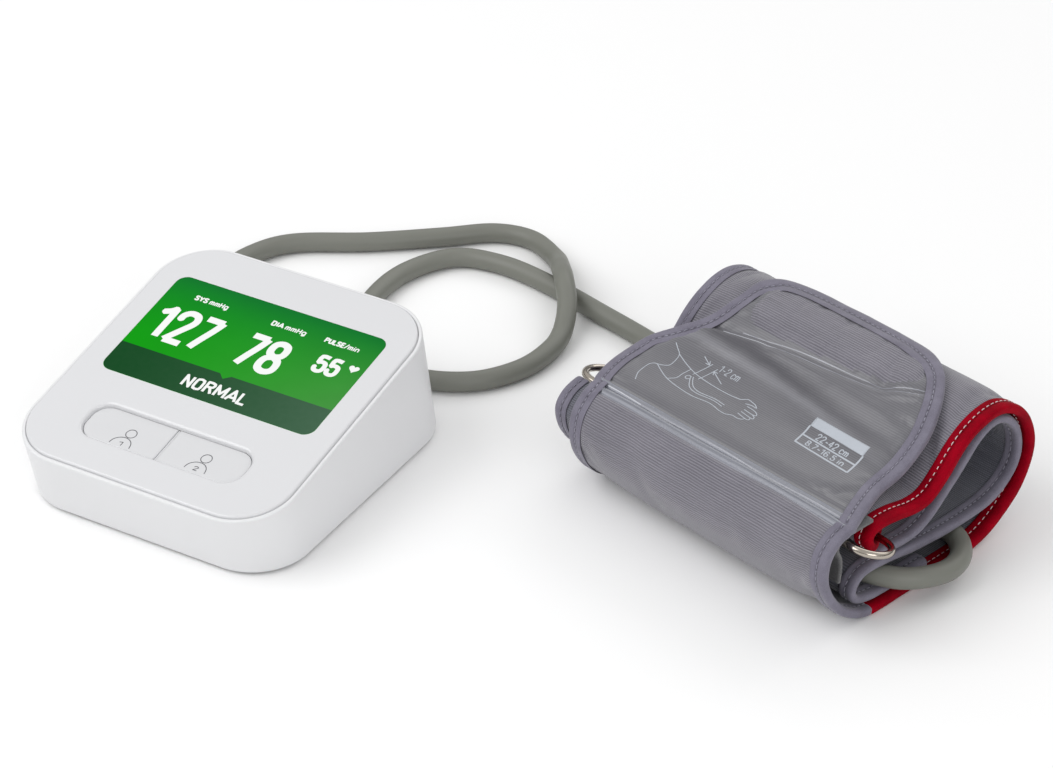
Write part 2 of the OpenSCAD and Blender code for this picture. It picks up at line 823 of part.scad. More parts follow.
module metal_ring() {
    r = ring_wire_d / 2;
    color("silver") at_ring() translate([0, 0, 38.6]) rotate([ring_lean, 0, 0]) {
        for (y = [-ring_r, ring_r]) translate([0, y, 0]) along_x(r, ring_x[0], ring_x[1]);
        for (end = [[ring_x[1], -90], [ring_x[0], 90]])
            translate([end[0], 0, 0]) rotate(end[1]) rotate_extrude(angle = 180)
                translate([ring_r, 0]) circle(r, $fn = 24);
    }
}

// Felt strip that is folded round the ring's front leg and hangs down in front of the fold
felt_points = [
    [5.5, 46], [-2.5, 45.5], [-8.5, 44.7], [-12.9, 42.6], [-13.7, 38.6], [-11.9, 35], [-11.5, 30],
    [-12.1, 23.5]
];

module ring_felt() {
    color([0.4, 0.4, 0.4]) at_ring() sheet_block(smooth(felt_points, 4), 0, 1.5, -118, -4);
}

upper_housing();
front_panel();
display_lens();
display_panel();
backlight_plate();
display_frame();
frame_screws();
user_button_1();
user_button_2();
button_board();
button_switches();
board_screws();
main_board();
board_chips();
wireless_module();
pressure_sensor();
battery_pack();
battery_clamp();
pump_cradle();
pump_motor();
pump_rotor();
pump_head();
exhaust_valve();
valve_plunger();
valve_spring();
air_manifold();
inner_tubes();
air_jack();
charging_port();
port_board();
base_cover();
case_screws();
rubber_feet();
hose_plug();
plug_seal();
air_hose();
bladder_nipple();
air_bladder();
cuff_wrap();
cuff_fold();
cuff_flap();
flap_binding();
hook_pad();
red_binding();
wrap_binding();
fold_binding();
metal_ring();
ring_felt();
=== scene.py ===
"""The look of an upper arm blood pressure monitor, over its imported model."""
from math import atan2, cos, exp, hypot, pi, radians, sin

import bpy
import numpy as np
from mathutils import Matrix, Vector, noise
from mathutils.bvhtree import BVHTree
from mathutils.geometry import tessellate_polygon


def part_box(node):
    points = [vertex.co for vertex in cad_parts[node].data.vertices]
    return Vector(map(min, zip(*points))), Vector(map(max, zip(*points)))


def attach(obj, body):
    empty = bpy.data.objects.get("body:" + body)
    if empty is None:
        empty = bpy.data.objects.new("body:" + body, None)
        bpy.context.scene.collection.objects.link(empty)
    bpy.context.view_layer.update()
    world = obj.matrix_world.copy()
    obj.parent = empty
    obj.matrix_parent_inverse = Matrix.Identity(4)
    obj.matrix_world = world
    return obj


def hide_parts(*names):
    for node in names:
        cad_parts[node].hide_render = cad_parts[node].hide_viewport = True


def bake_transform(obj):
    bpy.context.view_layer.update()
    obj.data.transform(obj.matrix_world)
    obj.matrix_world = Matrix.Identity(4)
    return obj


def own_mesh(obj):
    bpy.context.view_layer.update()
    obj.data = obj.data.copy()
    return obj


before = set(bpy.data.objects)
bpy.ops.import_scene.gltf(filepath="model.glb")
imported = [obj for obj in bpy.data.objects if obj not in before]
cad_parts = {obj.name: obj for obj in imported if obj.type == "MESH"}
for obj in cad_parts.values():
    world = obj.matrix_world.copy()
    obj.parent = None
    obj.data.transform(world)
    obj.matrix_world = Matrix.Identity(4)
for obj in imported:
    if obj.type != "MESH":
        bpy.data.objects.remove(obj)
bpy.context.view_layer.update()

scene = bpy.context.scene
TILT = radians(10.8)      # the monitor's face against the table
TURN = radians(-16)       # the cuff against the monitor


# ---- Places: millimetres in a piece's own frame to metres in the shared one ----

def monitor(x, y, z):
    return Vector((x - 119, y - 122, z)) * 0.001


def face(x, s, h):
    """On the sloping face: x across, s up the slope from the front rim, h out of the face."""
    y = s * cos(TILT) - h * sin(TILT)
    return monitor(x, y, 29.9 + s * sin(TILT) + h * cos(TILT))


def cuff(a, b, z):
    """On the cuff: a along the roll from its right end, b away from its front."""
    x = 157 + a * cos(TURN) - b * sin(TURN)
    y = -13 + a * sin(TURN) + b * cos(TURN)
    return Vector((x, y, z)) * 0.001


def smooth(points, steps):
    """A smooth line through a few points."""
    points = [np.array(p, float) for p in points]
    last = len(points) - 1
    line = []
    for i in range(last):
        p0, p1, p2, p3 = points[max(i - 1, 0)], points[i], points[i + 1], points[min(i + 2, last)]
        for k in range(steps):
            t = k / steps
            line.append(0.5 * (2 * p1 + (p2 - p0) * t + (2 * p0 - 5 * p1 + 4 * p2 - p3) * t * t
                               + (3 * p1 - p0 - 3 * p2 + p3) * t ** 3))
    line.append(points[last])
    return line


def curve_of(points, steps=6):
    """A smooth line as plain tuples."""
    return [tuple(p) for p in smooth(points, steps)]


def circle(x, y, radius, count):
    return [(x + radius * cos(t), y + radius * sin(t)) for t in np.linspace(0, 2 * pi, count + 1)[:-1]]


def quarter(steps, first=0):
    """The angles of a quarter turn, in equal steps."""
    return [radians(90 * k / steps) for k in range(first, steps + 1)]


# ---- Camera ----

camera = bpy.data.objects.new("camera", bpy.data.cameras.new("camera"))
scene.collection.objects.link(camera)
camera.matrix_world = Matrix((
    (0.8617, -0.2763, 0.4256, 0.5819),
    (0.5074, 0.4783, -0.7167, -0.9905),
    (-0.0055, 0.8336, 0.5524, 0.8107),
    (0, 0, 0, 1),
))
camera.data.sensor_fit = "HORIZONTAL"
camera.data.sensor_width = 36
camera.data.lens = 116.2
camera.data.clip_start = 0.01
scene.camera = camera


# ---- Materials ----

DISPLAY_X = (-119 - 52, -119 + 52)
FOLD_AT = 8.75
STITCH_PITCH = 2.8


class Nodes:
    """A material's node tree, with short calls for the nodes used here."""

    def __init__(self, name):
        self.material = bpy.data.materials.new(name)
        self.material.use_nodes = True
        self.tree = self.material.node_tree
        self.shader = self.tree.nodes["Principled BSDF"]

    def add(self, kind, inputs=(), **settings):
        node = self.tree.nodes.new(kind)
        for key, value in settings.items():
            setattr(node, key, value)
        for key, value in dict(inputs).items():
            if isinstance(value, bpy.types.NodeSocket):
                self.tree.links.new(value, node.inputs[key])
            else:
                node.inputs[key].default_value = value
        return node

    def place(self, scale=(1, 1, 1)):
        """Object coordinates in metres, scaled."""
        at = self.add("ShaderNodeTexCoord").outputs["Object"]
        return self.add("ShaderNodeMapping", {"Vector": at, "Scale": scale}).outputs[0]

    def cloth(self, scale=(1, 1, 1)):
        """The cloth's own coordinates in millimetres, along the roll and round it, scaled."""
        at = self.add("ShaderNodeUVMap", uv_map="cloth").outputs[0]
        return self.add("ShaderNodeMapping", {"Vector": at, "Scale": scale}).outputs[0]

    def noise(self, at, scale, detail=3.0, rough=0.55):
        inputs = {"Vector": at, "Scale": scale, "Detail": detail, "Roughness": rough}
        return self.add("ShaderNodeTexNoise", inputs).outputs["Fac"]

    def span(self, value, low, high, start=0.0, end=1.0):
        inputs = {"Value": value, "From Min": start, "From Max": end, "To Min": low, "To Max": high}
        return self.add("ShaderNodeMapRange", inputs).outputs[0]

    def math(self, how, a, b=0.0):
        return self.add("ShaderNodeMath", {0: a, 1: b}, operation=how).outputs[0]

    def plus(self, a, b):
        return self.math("ADD", a, b)

    def minus(self, a, b):
        return self.math("SUBTRACT", a, b)

    def times(self, a, b):
        return self.math("MULTIPLY", a, b)

    def wave(self, value, period, low=0, high=1):
        return self.span(self.math("SINE", self.times(value, 2 * pi / period)), low, high, -1, 1)

    def split(self, vector):
        return self.add("ShaderNodeSeparateXYZ", {0: vector}).outputs

    def put(self, socket, value):
        """Links a socket, or gives it a number or a colour."""
        if isinstance(value, bpy.types.NodeSocket):
            self.tree.links.new(value, socket)
        else:
            socket.default_value = (*value, 1) if isinstance(value, tuple) and len(value) == 3 else value

    def mix(self, factor, a, b, how="MIX"):
        node = self.add("ShaderNodeMix", data_type="RGBA", blend_type=how)
        for index, value in ((0, factor), (6, a), (7, b)):
            self.put(node.inputs[index], value)
        return node.outputs[2]

    def set(self, **values):
        for key, value in values.items():
            self.put(self.shader.inputs[key.replace("_", " ")], value)

    def bump(self, height, distance, strength=1.0):
        inputs = {"Height": height, "Distance": distance, "Strength": strength}
        self.set(Normal=self.add("ShaderNodeBump", inputs).outputs[0])


def moulded(name, color, rough, vary=0.04, grain=900, depth=0.00002, metallic=0.0, coat=0.0, coat_rough=0.05):
    """Plastic, rubber or metal: a little uneven in colour and gloss, with a fine grain."""
    n = Nodes(name)
    at = n.place()
    patch = n.noise(at, 35, 4)
    low = tuple(c * (1 - vary) for c in color)
    high = tuple(min(c * (1 + vary), 1) for c in color)
    fine = n.noise(at, grain, 2)
    n.set(Base_Color=n.mix(patch, low, high), Metallic=metallic)
    n.set(Roughness=n.span(n.noise(at, 140, 3), rough * 0.88, rough * 1.12))
    if coat:
        n.set(Coat_Weight=coat, Coat_Roughness=coat_rough)
    n.bump(fine, depth)
    return n.material


def cloth_rib(n, period):
    """Ribs along the roll, the finer threads across them and streaks along the ribs, 0 to 1."""
    drift = n.span(n.noise(n.cloth((0.02, 0.05, 1)), 1.0, 2), -0.6, 0.6)
    v = n.split(n.cloth())
    return n.wave(n.plus(v[1], drift), period), n.wave(v[0], 0.55), n.noise(n.cloth((0.03, 1.6, 1)), 1.0, 2, 0.7)


def slack_film(n, color):
    """Painted reflection on the film: a long darker band below the welded crease and a paler band beside it."""
    v = n.split(n.cloth())
    along = n.plus(v[0], 126.0)
    middle = n.minus(52.3, n.times(n.times(along, along), 0.00095))
    sway = n.span(n.noise(n.cloth((0.06, 0.1, 1)), 1.0, 3), -2.2, 2.2)
    off = n.minus(n.plus(v[1], sway), middle)
    # Painted reflection: the near-black dark band, then the pale grey band beside it.
    dark = n.times(n.span(n.math("ABSOLUTE", off), 0.75, 0.0, 1.2, 4.2), n.span(v[0], 1.0, 0.25, -70, -28))
    beside = n.math("ABSOLUTE", n.minus(off, -6.5))
    pale = n.times(n.span(beside, 0.45, 0.0, 0.5, 3.2), n.span(v[0], 1.0, 0.3, -60, -20))
    return n.mix(pale, n.mix(dark, color, (0.052, 0.050, 0.062)), (0.25, 0.25, 0.275))


def ribbed(name, dark, light, period=1.05, gloss=0.55, depth=0.00016, coat=0.0, shade=None):
    """Ribbed nylon: ribs along the roll with threads across them, their light and dark lines painted shade and
    sheen.
    """
    n = Nodes(name)
    rib, across, line = cloth_rib(n, period)
    patch = n.noise(n.cloth((0.03, 0.05, 1)), 1.0, 4)
    # The colour follows the bump's ribs and threads, with painted shade in their grooves, and the streaks along the
    # ribs are painted sheen.
    tone = n.plus(n.times(rib, 0.45), n.times(line, 0.6))
    tone = n.plus(tone, n.times(n.span(patch, -0.5, 0.5), 0.35))
    tone = n.plus(tone, n.times(n.span(across, -0.5, 0.5), 0.16))
    color = n.mix(n.span(tone, 0, 1, 0.1, 0.95), dark, light)
    n.set(Base_Color=shade(n, color) if shade else color, Roughness=n.span(line, gloss - 0.12, gloss + 0.14))
    n.set(Sheen_Weight=0.35, Sheen_Roughness=0.45, Specular_IOR_Level=0.35)
    if coat:
        n.set(Coat_Weight=coat, Coat_Roughness=0.22)
    height = n.plus(n.times(rib, 0.75), n.times(across, 0.18))
    n.bump(n.plus(height, n.times(line, 0.35)), depth)
    return n.material


def woven(name, dark, light, depth=0.00010, rough=0.7, sheen=0.25, specular=0.2, bound=False):
    """A plain woven tape with a soft sheen: fine threads both ways, paler on its raised bends. A bound tape gets
    painted shadow along its inner edges and painted shade in dashes along its stitch line.
    """
    n = Nodes(name)
    at = n.place()
    fine, patch = n.noise(at, 2600, 2, 0.6), n.noise(at, 120, 4)
    tone = n.plus(n.times(fine, 0.5), n.times(patch, 0.6))
    color = n.mix(n.span(tone, 0, 1, 0.3, 0.8), dark, light)
    if bound:
        v = n.split(n.cloth())
        fold = n.math("ABSOLUTE", n.minus(v[1], FOLD_AT))
        # Painted shadow along the tape's inner edges and painted shade in dashes along the stitch line, both
        # darkened to a fifth of the dark colour.
        edge = n.span(fold, 0.0, 0.85, 6.3, 6.9)
        seam = n.span(n.math("ABSOLUTE", n.minus(fold, 3.85)), 1.0, 0.0, 0.15, 0.75)
        painted_stitch_shade = n.times(seam, n.wave(v[0], STITCH_PITCH, 0.25, 0.6))
        color = n.mix(n.math("MAXIMUM", edge, painted_stitch_shade), color, tuple(c * 0.2 for c in dark))
    n.set(Base_Color=color, Roughness=rough, Sheen_Weight=sheen, Sheen_Roughness=0.4, Specular_IOR_Level=specular)
    n.bump(n.plus(fine, n.times(patch, 0.8)), depth)
    return n.material


def display():
    """A lit green display, brighter to the left; its greying to the lower right is a painted reflection of the
    studio lights.
    """
    n = Nodes("display")
    at = n.split(n.place((1000, 1000, 1000)))
    across = n.span(at[0], 0, 1, *DISPLAY_X)
    up = n.span(at[1], 0, 1, -122 + 53, -122 + 115)
    # Painted reflection of the studio lights: the glow greys towards the lower right.
    painted_glare = n.times(n.math("POWER", across, 1.7), n.span(up, 1.0, 0.3))
    top = n.mix(n.math("POWER", up, 3.0), n.mix(painted_glare, (0.0, 0.31, 0.0), (0.072, 0.27, 0.062)), (0.0, 0.15, 0.022))
    cloud = n.span(n.noise(n.place(), 60, 3), 0.92, 1.08)
    glow = n.mix(1.0, top, n.add("ShaderNodeCombineColor", {0: cloud, 1: cloud, 2: cloud}).outputs[0], "MULTIPLY")
    n.set(Base_Color=(0.004, 0.02, 0.004), Roughness=0.16, Emission_Color=glow, Emission_Strength=1.0)
    n.set(Specular_IOR_Level=0.03)
    return n.material


def lit(name, color, other):
    """A lit part of the display, from one colour at the left to another at the right, slightly uneven; the change
    to the right is painted reflection, as on the display.
    """
    n = Nodes(name)
    patch = n.noise(n.place(), 400, 2)
    across = n.math("POWER", n.span(n.split(n.place((1000, 1000, 1000)))[0], 0, 1, *DISPLAY_X), 1.6)
    glow = n.mix(n.times(n.span(patch, 0.94, 1.06), across), color, other)
    n.set(Base_Color=n.mix(patch, (0.004, 0.004, 0.004), (0.01, 0.01, 0.01)), Roughness=0.3)
    n.set(Emission_Color=glow, Emission_Strength=1.0, Specular_IOR_Level=0.03)
    return n.material


white_body = moulded("white_body", (0.735, 0.738, 0.75), 0.42, 0.015, 700, 0.000012)
white_plate = moulded("white_plate", (0.665, 0.668, 0.684), 0.16, 0.012, 300, 0.000002, coat=0.3, coat_rough=0.03)
white_button = moulded("white_button", (0.635, 0.638, 0.652), 0.3, 0.015, 900, 0.00001, coat=0.2)
seam_dark = moulded("seam_dark", (0.40, 0.40, 0.41), 0.6, 0.06)
hose_rubber = moulded("hose_rubber", (0.178, 0.182, 0.158), 0.46, 0.06, 1500, 0.000012)
plug_rubber = moulded("plug_rubber", (0.15, 0.155, 0.14), 0.5, 0.06, 1200, 0.00002)
nickel = moulded("nickel", (0.50, 0.45, 0.39), 0.14, 0.35, 400, 0.000004, metallic=1.0)
line_ink = moulded("line_ink", (0.10, 0.10, 0.11), 0.5, 0.12)
print_ink = moulded("print_ink", (0.44, 0.47, 0.52), 0.5, 0.12)
display_green = display()
# The second colour of each lit part carries the painted reflection at the display's right.
display_bar = lit("display_bar", (0.0, 0.062, 0.010), (0.050, 0.125, 0.068))
display_white = lit("display_white", (0.95, 0.96, 0.95), (0.92, 0.94, 0.92))
nylon = ribbed("nylon", (0.082, 0.080, 0.098), (0.275, 0.262, 0.305), 1.05, depth=0.00022)
nylon_inside = ribbed("nylon_inside", (0.058, 0.060, 0.078), (0.195, 0.198, 0.236), 0.95, depth=0.00022)
film = ribbed("film", (0.092, 0.092, 0.104), (0.165, 0.162, 0.180), 1.05, 0.36, 0.00005, 0.35, slack_film)
weld = ribbed("weld", (0.11, 0.115, 0.14), (0.27, 0.28, 0.33), 2.1, 0.26, 0.00025, 0.7)
# Painted highlights on the welds' glossy edges: a bright one and a fainter one.
weld_highlight = moulded("weld_highlight", (0.47, 0.48, 0.53), 0.25, 0.35, 900, 0.00005, coat=0.5)
weld_faint_highlight = moulded("weld_faint_highlight", (0.27, 0.275, 0.315), 0.28, 0.5, 900, 0.00008, coat=0.5)
tape_grey = woven("tape_grey", (0.125, 0.116, 0.153), (0.225, 0.214, 0.268), bound=True)
tape_red = woven("tape_red", (0.14, 0.0, 0.005), (0.40, 0.0, 0.012), rough=0.65, sheen=0.01, specular=0.04,
                 bound=True)
thread_grey = woven("thread_grey", (0.17, 0.165, 0.21), (0.38, 0.37, 0.44), 0.00003)
thread_pale = woven("thread_pale", (0.52, 0.42, 0.42), (0.80, 0.68, 0.68), 0.00003)
felt = woven("felt", (0.09, 0.09, 0.09), (0.20, 0.20, 0.205), 0.0003, 0.95)
hooks = woven("hooks", (0.03, 0.03, 0.035), (0.09, 0.09, 0.10), 0.0004, 0.8)


# ---- Meshes ----

def mesh(name, points, faces, material, body="base", uvs=None, materials=None, picks=None, rides=True):
    """A piece from points in metres. uvs gives each point's place on the cloth, in millimetres."""
    data = bpy.data.meshes.new(name)
    data.from_pydata([tuple(p) for p in points], [], faces)
    for m in materials or [material]:
        data.materials.append(m)
    if picks is not None:
        data.polygons.foreach_set("material_index", picks)
    data.polygons.foreach_set("use_smooth", [True] * len(data.polygons))
    if uvs is not None:
        layer = data.uv_layers.new(name="cloth")
        order = [v for f in faces for v in f]
        layer.data.foreach_set("uv", [c for v in order for c in uvs[v]])
    data.validate()
    piece = bpy.data.objects.new(name, data)
    scene.collection.objects.link(piece)
    if rides:
        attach(piece, body)
    return piece


def grid_faces(rows, columns, wrap_rows=False, wrap_columns=False, start=0, flip=False):
    """Quads between rows x columns points, in order."""
    faces = []
    for i in range(rows if wrap_rows else rows - 1):
        for j in range(columns if wrap_columns else columns - 1):
            here, next_row, n = start + i * columns, start + (i + 1) % rows * columns, (j + 1) % columns
            quad = [here + j, here + n, next_row + n, next_row + j]
            faces.append(quad[::-1] if flip else quad)
    return faces


def caps(rows, n, start=0):
    """The two end faces of rows x n points."""
    return [[start + k for k in range(n)][::-1], [start + (rows - 1) * n + k for k in range(n)]]


def shell_faces(rows, n):
    """A thin shell: an outer grid of points, an inner one after it, and the rim between them."""
    inner = rows * n
    rim = [i * n for i in range(rows)] + [inner - n + j for j in range(1, n)]
    rim += [i * n + n - 1 for i in range(rows - 2, -1, -1)] + list(range(n - 2, 0, -1))
    edge = [[a, b, b + inner, a + inner] for a, b in zip(rim, rim[1:] + rim[:1])]
    return grid_faces(rows, n) + grid_faces(rows, n, start=inner, flip=True) + edge


def lofted(name, rings, material, closed=False, flip=False, rides=True):
    """A piece through rings of points, joined end to end or capped."""
    rows, n = len(rings), len(rings[0])
    faces = grid_faces(rows, n, closed, True, flip=flip) + ([] if closed else caps(rows, n))
    return mesh(name, [p for ring in rings for p in ring], faces, material, rides=rides)


def stands(node):
    """The piece takes a CAD part's place; the part is hidden."""
    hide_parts(node)


def crisp(piece):
    """Keeps flat faces flat beside rounded edges."""
    m = piece.modifiers.new("normals", "WEIGHTED_NORMAL")
    m.keep_sharp = True
    m.weight = 100
    return piece


def applied(piece):
    """The piece with its modifiers worked into its mesh."""
    bpy.context.view_layer.update()
    done = bpy.data.meshes.new_from_object(piece.evaluated_get(bpy.context.evaluated_depsgraph_get()))
    piece.modifiers.clear()
    old = piece.data
    piece.data = done
    bpy.data.meshes.remove(old)
    return piece


def subdivided(piece):
    m = piece.modifiers.new("smooth", "SUBSURF")
    m.levels = m.render_levels = 1
    return applied(piece)


def tube_points(path, radius, sides=16):
    """Rings of points round a path, turned as little as possible from one to the next."""
    path = [Vector(p) for p in path]
    points = []
    side = None
    for i, p in enumerate(path):
        d = (path[min(i + 1, len(path) - 1)] - path[max(i - 1, 0)]).normalized()
        if side is None:
            side = d.orthogonal().normalized()
        side = (side - d * side.dot(d)).normalized()
        up = d.cross(side)
        r = radius(i / (len(path) - 1)) if callable(radius) else radius
        for k in range(sides):
            t = 2 * pi * k / sides
            points.append(p + (side * cos(t) + up * sin(t)) * r)
    return points


def tube(name, path, radius, material, sides=16, closed=False):
    faces = grid_faces(len(path), sides, closed, True) + ([] if closed else caps(len(path), sides))
    return mesh(name, tube_points(path, radius, sides), faces, material)


# ---- Hose ----

HOSE_RADIUS = 0.0045
hose_free = [
    (-193.5, -32, 17), (-193.5, -20, 16.5), (-194.5, -4, 11.5), (-198, 16, 5.6), (-202, 38, 4.5),
    (-204.5, 62, 4.5), (-202, 84.5, 4.5), (-191, 103, 4.5), (-162, 121, 4.5), (-135, 141.5, 4.5),
    (-116, 156.8, 4.5), (-98, 160, 4.5), (-80, 150, 5.8), (-68, 135, 11.6), (-59, 122.5, 14.3),
    (-51, 111, 10.6), (-45.5, 97, 5.8), (-44, 83, 4.5), (-47, 65, 4.5), (-58, 48, 4.5),
    (-75, 38, 4.5), (-94, 35.5, 4.5), (-113, 42, 4.5), (-127, 58, 4.5), (-134, 82, 4.5),
    (-133, 107, 4.5), (-121, 128.5, 4.5), (-100, 134.5, 4.5), (-74, 131, 4.5), (-37, 120, 4.5),
    (-15, 113, 4.7), (7, 102, 7.4),
]
hose_in_cuff = [
    (-142, 59.5, 10.1), (-80, 57, 9.6), (-18, 57, 9.5), (3, 50, 9.6), (10.5, 33, 10.8), (3, 14, 12.8),
    (-16, 4, 14.1), (-30, 3, 14.2),
]
hose_points = [Vector(p) * 0.001 for p in hose_free] + [cuff(*p) for p in hose_in_cuff]
hose_path = [Vector(p) for p in smooth(hose_points, 10)]
curve = bpy.data.curves.new("hose", "CURVE")
curve.dimensions = "3D"
curve.bevel_depth = HOSE_RADIUS
curve.bevel_resolution = 6
curve.use_fill_caps = True
spline = curve.splines.new("POLY")
spline.points.add(len(hose_path) - 1)
for point, p in zip(spline.points, hose_path):
    point.co = (*p, 1)
spline.use_smooth = True
curve.materials.append(hose_rubber)
hose = bpy.data.objects.new("hose", curve)
scene.collection.objects.link(hose)
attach(hose, "base")
stands("air_hose")

# Elbow plug: a ribbed collar on the jack, a rounded elbow and a sleeve over the hose
elbow = [monitor(x, 76, 17) for x in (-65.2, -66.4, -67.6, -69, -70.4, -71.8)]
elbow += [monitor(-71.8 - 2.7 * sin(t), 76 + 2.7 * (1 - cos(t)), 17) for t in quarter(9, 1)[:-1]]
elbow += [monitor(-74.5, y, 17) for y in (79, 81, 82.2, 82.6, 83.6, 84, 85.2, 85.6, 86.6, 87, 88.2, 88.6, 89.3)]
elbow_radius = [6.6, 6.9, 6.9, 6.0, 5.85] + [5.8] * 10
elbow_radius += [5.75, 5.7, 5.3, 5.3, 5.7, 5.7, 5.3, 5.3, 5.7, 5.6, 5.3, 4.9]
plug = tube("plug_elbow", elbow, lambda t: elbow_radius[round(t * (len(elbow) - 1))] * 0.001, plug_rubber, 32)
stands("hose_plug")


# ---- Monitor: housing ----

def outline(w, l, r, s0, corner=14, bow=0.0):
    """A rounded rectangle's points (x, s), anticlockwise, with l up the slope from s0."""
    points = []
    for cx, cs, start in ((1, 1, 0), (-1, 1, 90), (-1, -1, 180), (1, -1, 270)):
        for k in range(corner + 1):
            t = radians(start + 90 * k / corner)
            points.append((cx * (w / 2 - r) + r * cos(t), s0 + l / 2 + cs * (l / 2 - r) + r * sin(t)))
    return points


def on_slope(w, l, r, s0, corner):
    """Rings of points round a rounded rectangle on the slope, grown sideways and lifted out of it."""
    def ring(grow, h):
        loop = outline(w + 2 * grow, l + 2 * grow, r + grow, s0 - grow, corner)
        return [face(x, s, h(s) if callable(h) else h) for x, s in loop]
    return ring


CASE = on_slope(130, 139.3, 25.3, 0, 20)
POCKET = on_slope(78, 19.6, 8, 18.3, 12)
WINDOW = on_slope(104.6, 62.3, 5, 54.4, 8)


def floor_ring(inset, z):
    """The case's outline carried down the slope's normal to a height above the table."""
    return CASE(-inset, lambda s: -(29.9 + s * sin(TILT) - z) / cos(TILT))


def between(a, b, t):
    return [p.lerp(q, t) for p, q in zip(a, b)]


housing_rings = [CASE(-4.6, -1.5), CASE(-1.62, -1.5), CASE(-1.6, -0.5)]
housing_rings += [CASE(-(1.25 + 0.35 * cos(t)), -(0.3 - 0.3 * sin(t))) for t in quarter(4)]
housing_rings += [CASE(-0.95 * (1 - sin(t)), -0.95 * (1 - cos(t))) for t in quarter(8, 1)]
upper, lower = CASE(0, -0.95), floor_ring(0.55, 2.6)
housing_rings += [between(upper, lower, t) for t in (0.02, 0.15, 0.5, 0.85, 0.98)]
housing_rings += [floor_ring(0.55 + 1.5 * (1 - cos(t)), 2.6 - 1.5 * sin(t)) for t in quarter(6)]
housing_rings += [floor_ring(2.35, 1.1), floor_ring(2.4, 1.4), CASE(-2.4, -4.2), CASE(-4.6, -4.2)]
housing = lofted("housing", housing_rings, white_body, closed=True, flip=True, rides=False)


def cut(piece, name, low, high, radius=0.8):
    """Cuts a rounded slot through the piece, between two corners in the monitor's frame."""
    (x0, y0, z0), (x1, y1, z1) = low, high
    loop = []
    for cx, cz, start in ((x1 - radius, z1 - radius, 0), (x0 + radius, z1 - radius, 90),
                          (x0 + radius, z0 + radius, 180), (x1 - radius, z0 + radius, 270)):
        for k in range(7):
            t = radians(start + 15 * k)
            loop.append((cx + radius * cos(t), cz + radius * sin(t)))
    tool = lofted(name, [[monitor(x, y, z) for x, z in loop] for y in (y0, y1)], seam_dark, rides=False)
    m = piece.modifiers.new("cut", "BOOLEAN")
    m.operation = "DIFFERENCE"
    m.solver = "EXACT"
    m.object = tool
    applied(piece)
    bpy.data.objects.remove(tool)


cut(housing, "port_cut", (-20, 130, 8.2), (-10.4, 160, 12.2), 1.6)
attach(housing, "base")
crisp(housing)
stands("upper_housing")


# ---- Monitor: glossy plate, display and buttons ----

def filled(points, loops, up=True):
    """Triangles over flat loops of point numbers, facing up or down."""
    flat = [i for loop in loops for i in loop]
    faces = []
    for tri in tessellate_polygon([[points[i] for i in loop] for loop in loops]):
        a, b, c = (flat[i] for i in tri)
        above = (points[b] - points[a]).cross(points[c] - points[a]).z > 0
        faces.append([a, b, c] if above == up else [a, c, b])
    return faces


def holed(name, outer_rings, hole_rings, material):
    """A plate: outer_rings run from its underside up to its top, and each hole's from the top down."""
    points, faces, tops, lows = [], [], [], []
    for rings in (outer_rings, *hole_rings):
        base, n = len(points), len(rings[0])
        points += [p for ring in rings for p in ring]
        faces += grid_faces(len(rings), n, False, True, base)
        first, last = list(range(base, base + n)), list(range(len(points) - n, len(points)))
        tops.append(last if rings is outer_rings else first)
        lows.append(first if rings is outer_rings else last)
    return crisp(mesh(name, points, faces + filled(points, tops) + filled(points, lows, False), material))


plate_rings = [CASE(-inset, h) for inset, h in ((1.8, -1.4), (1.7, -1.3), (1.7, -0.3), (1.85, -0.2), (1.85, 0.0))]
plate_rings += [CASE(-(1.85 + 0.95 * (1 - cos(t))), 0.05 + 0.95 * sin(t)) for t in quarter(8)]
pocket_rings = [POCKET(1.7 * (1 - sin(t)), 1.0 - 1.3 * (1 - cos(t))) for t in quarter(6)]
pocket_rings += [POCKET(0, -0.5), POCKET(-0.2, -0.72), POCKET(-0.2, -1.4)]
plate = holed("plate", plate_rings, [pocket_rings, [WINDOW(0.03, h) for h in (1.0, 0.9, -1.4)]], white_plate)
stands("front_panel")
glass = holed("display_glass", [WINDOW(0, -1.4), WINDOW(0, 0.94), WINDOW(-0.06, 1.0)], [], display_green)
stands("display_lens")


def flat_shape(name, loops, h, thick, material):
    """A thin flat shape of the display, each loop a list of (x, s)."""
    points, faces = [], []
    for loop in loops:
        n, base = len(loop), len(points)
        points += [face(x, s, h + thick) for x, s in loop] + [face(x, s, h) for x, s in loop]
        top = filled(points, [range(base, base + n)])
        faces += top + [[a + n, c + n, b + n] for a, b, c in top]
        area = sum(x0 * s1 - x1 * s0 for (x0, s0), (x1, s1) in zip(loop, loop[1:] + loop[:1]))
        for i in range(n):
            j = (i + 1) % n
            quad = [base + i, base + n + i, base + n + j, base + j]
            faces.append(quad if area > 0 else quad[::-1])
    piece = flat_shaded(mesh(name, points, faces, material))


def flat_shaded(piece):
    piece.data.polygons.foreach_set("use_smooth", [False] * len(piece.data.polygons))
    return piece


def stroke(line, width, closed=False):
    """The outline of a line drawn with a round pen: a list of (x, s)."""
    line = [Vector(p) for p in line]
    sides = ([], [])
    for i, p in enumerate(line):
        if closed:
            d = line[(i + 1) % len(line)] - line[i - 1]
        else:
            d = line[min(i + 1, len(line) - 1)] - line[max(i - 1, 0)]
        n = Vector((-d.y, d.x)).normalized() * width / 2
        sides[0].append(tuple(p + n))
        sides[1].append(tuple(p - n))
    return sides


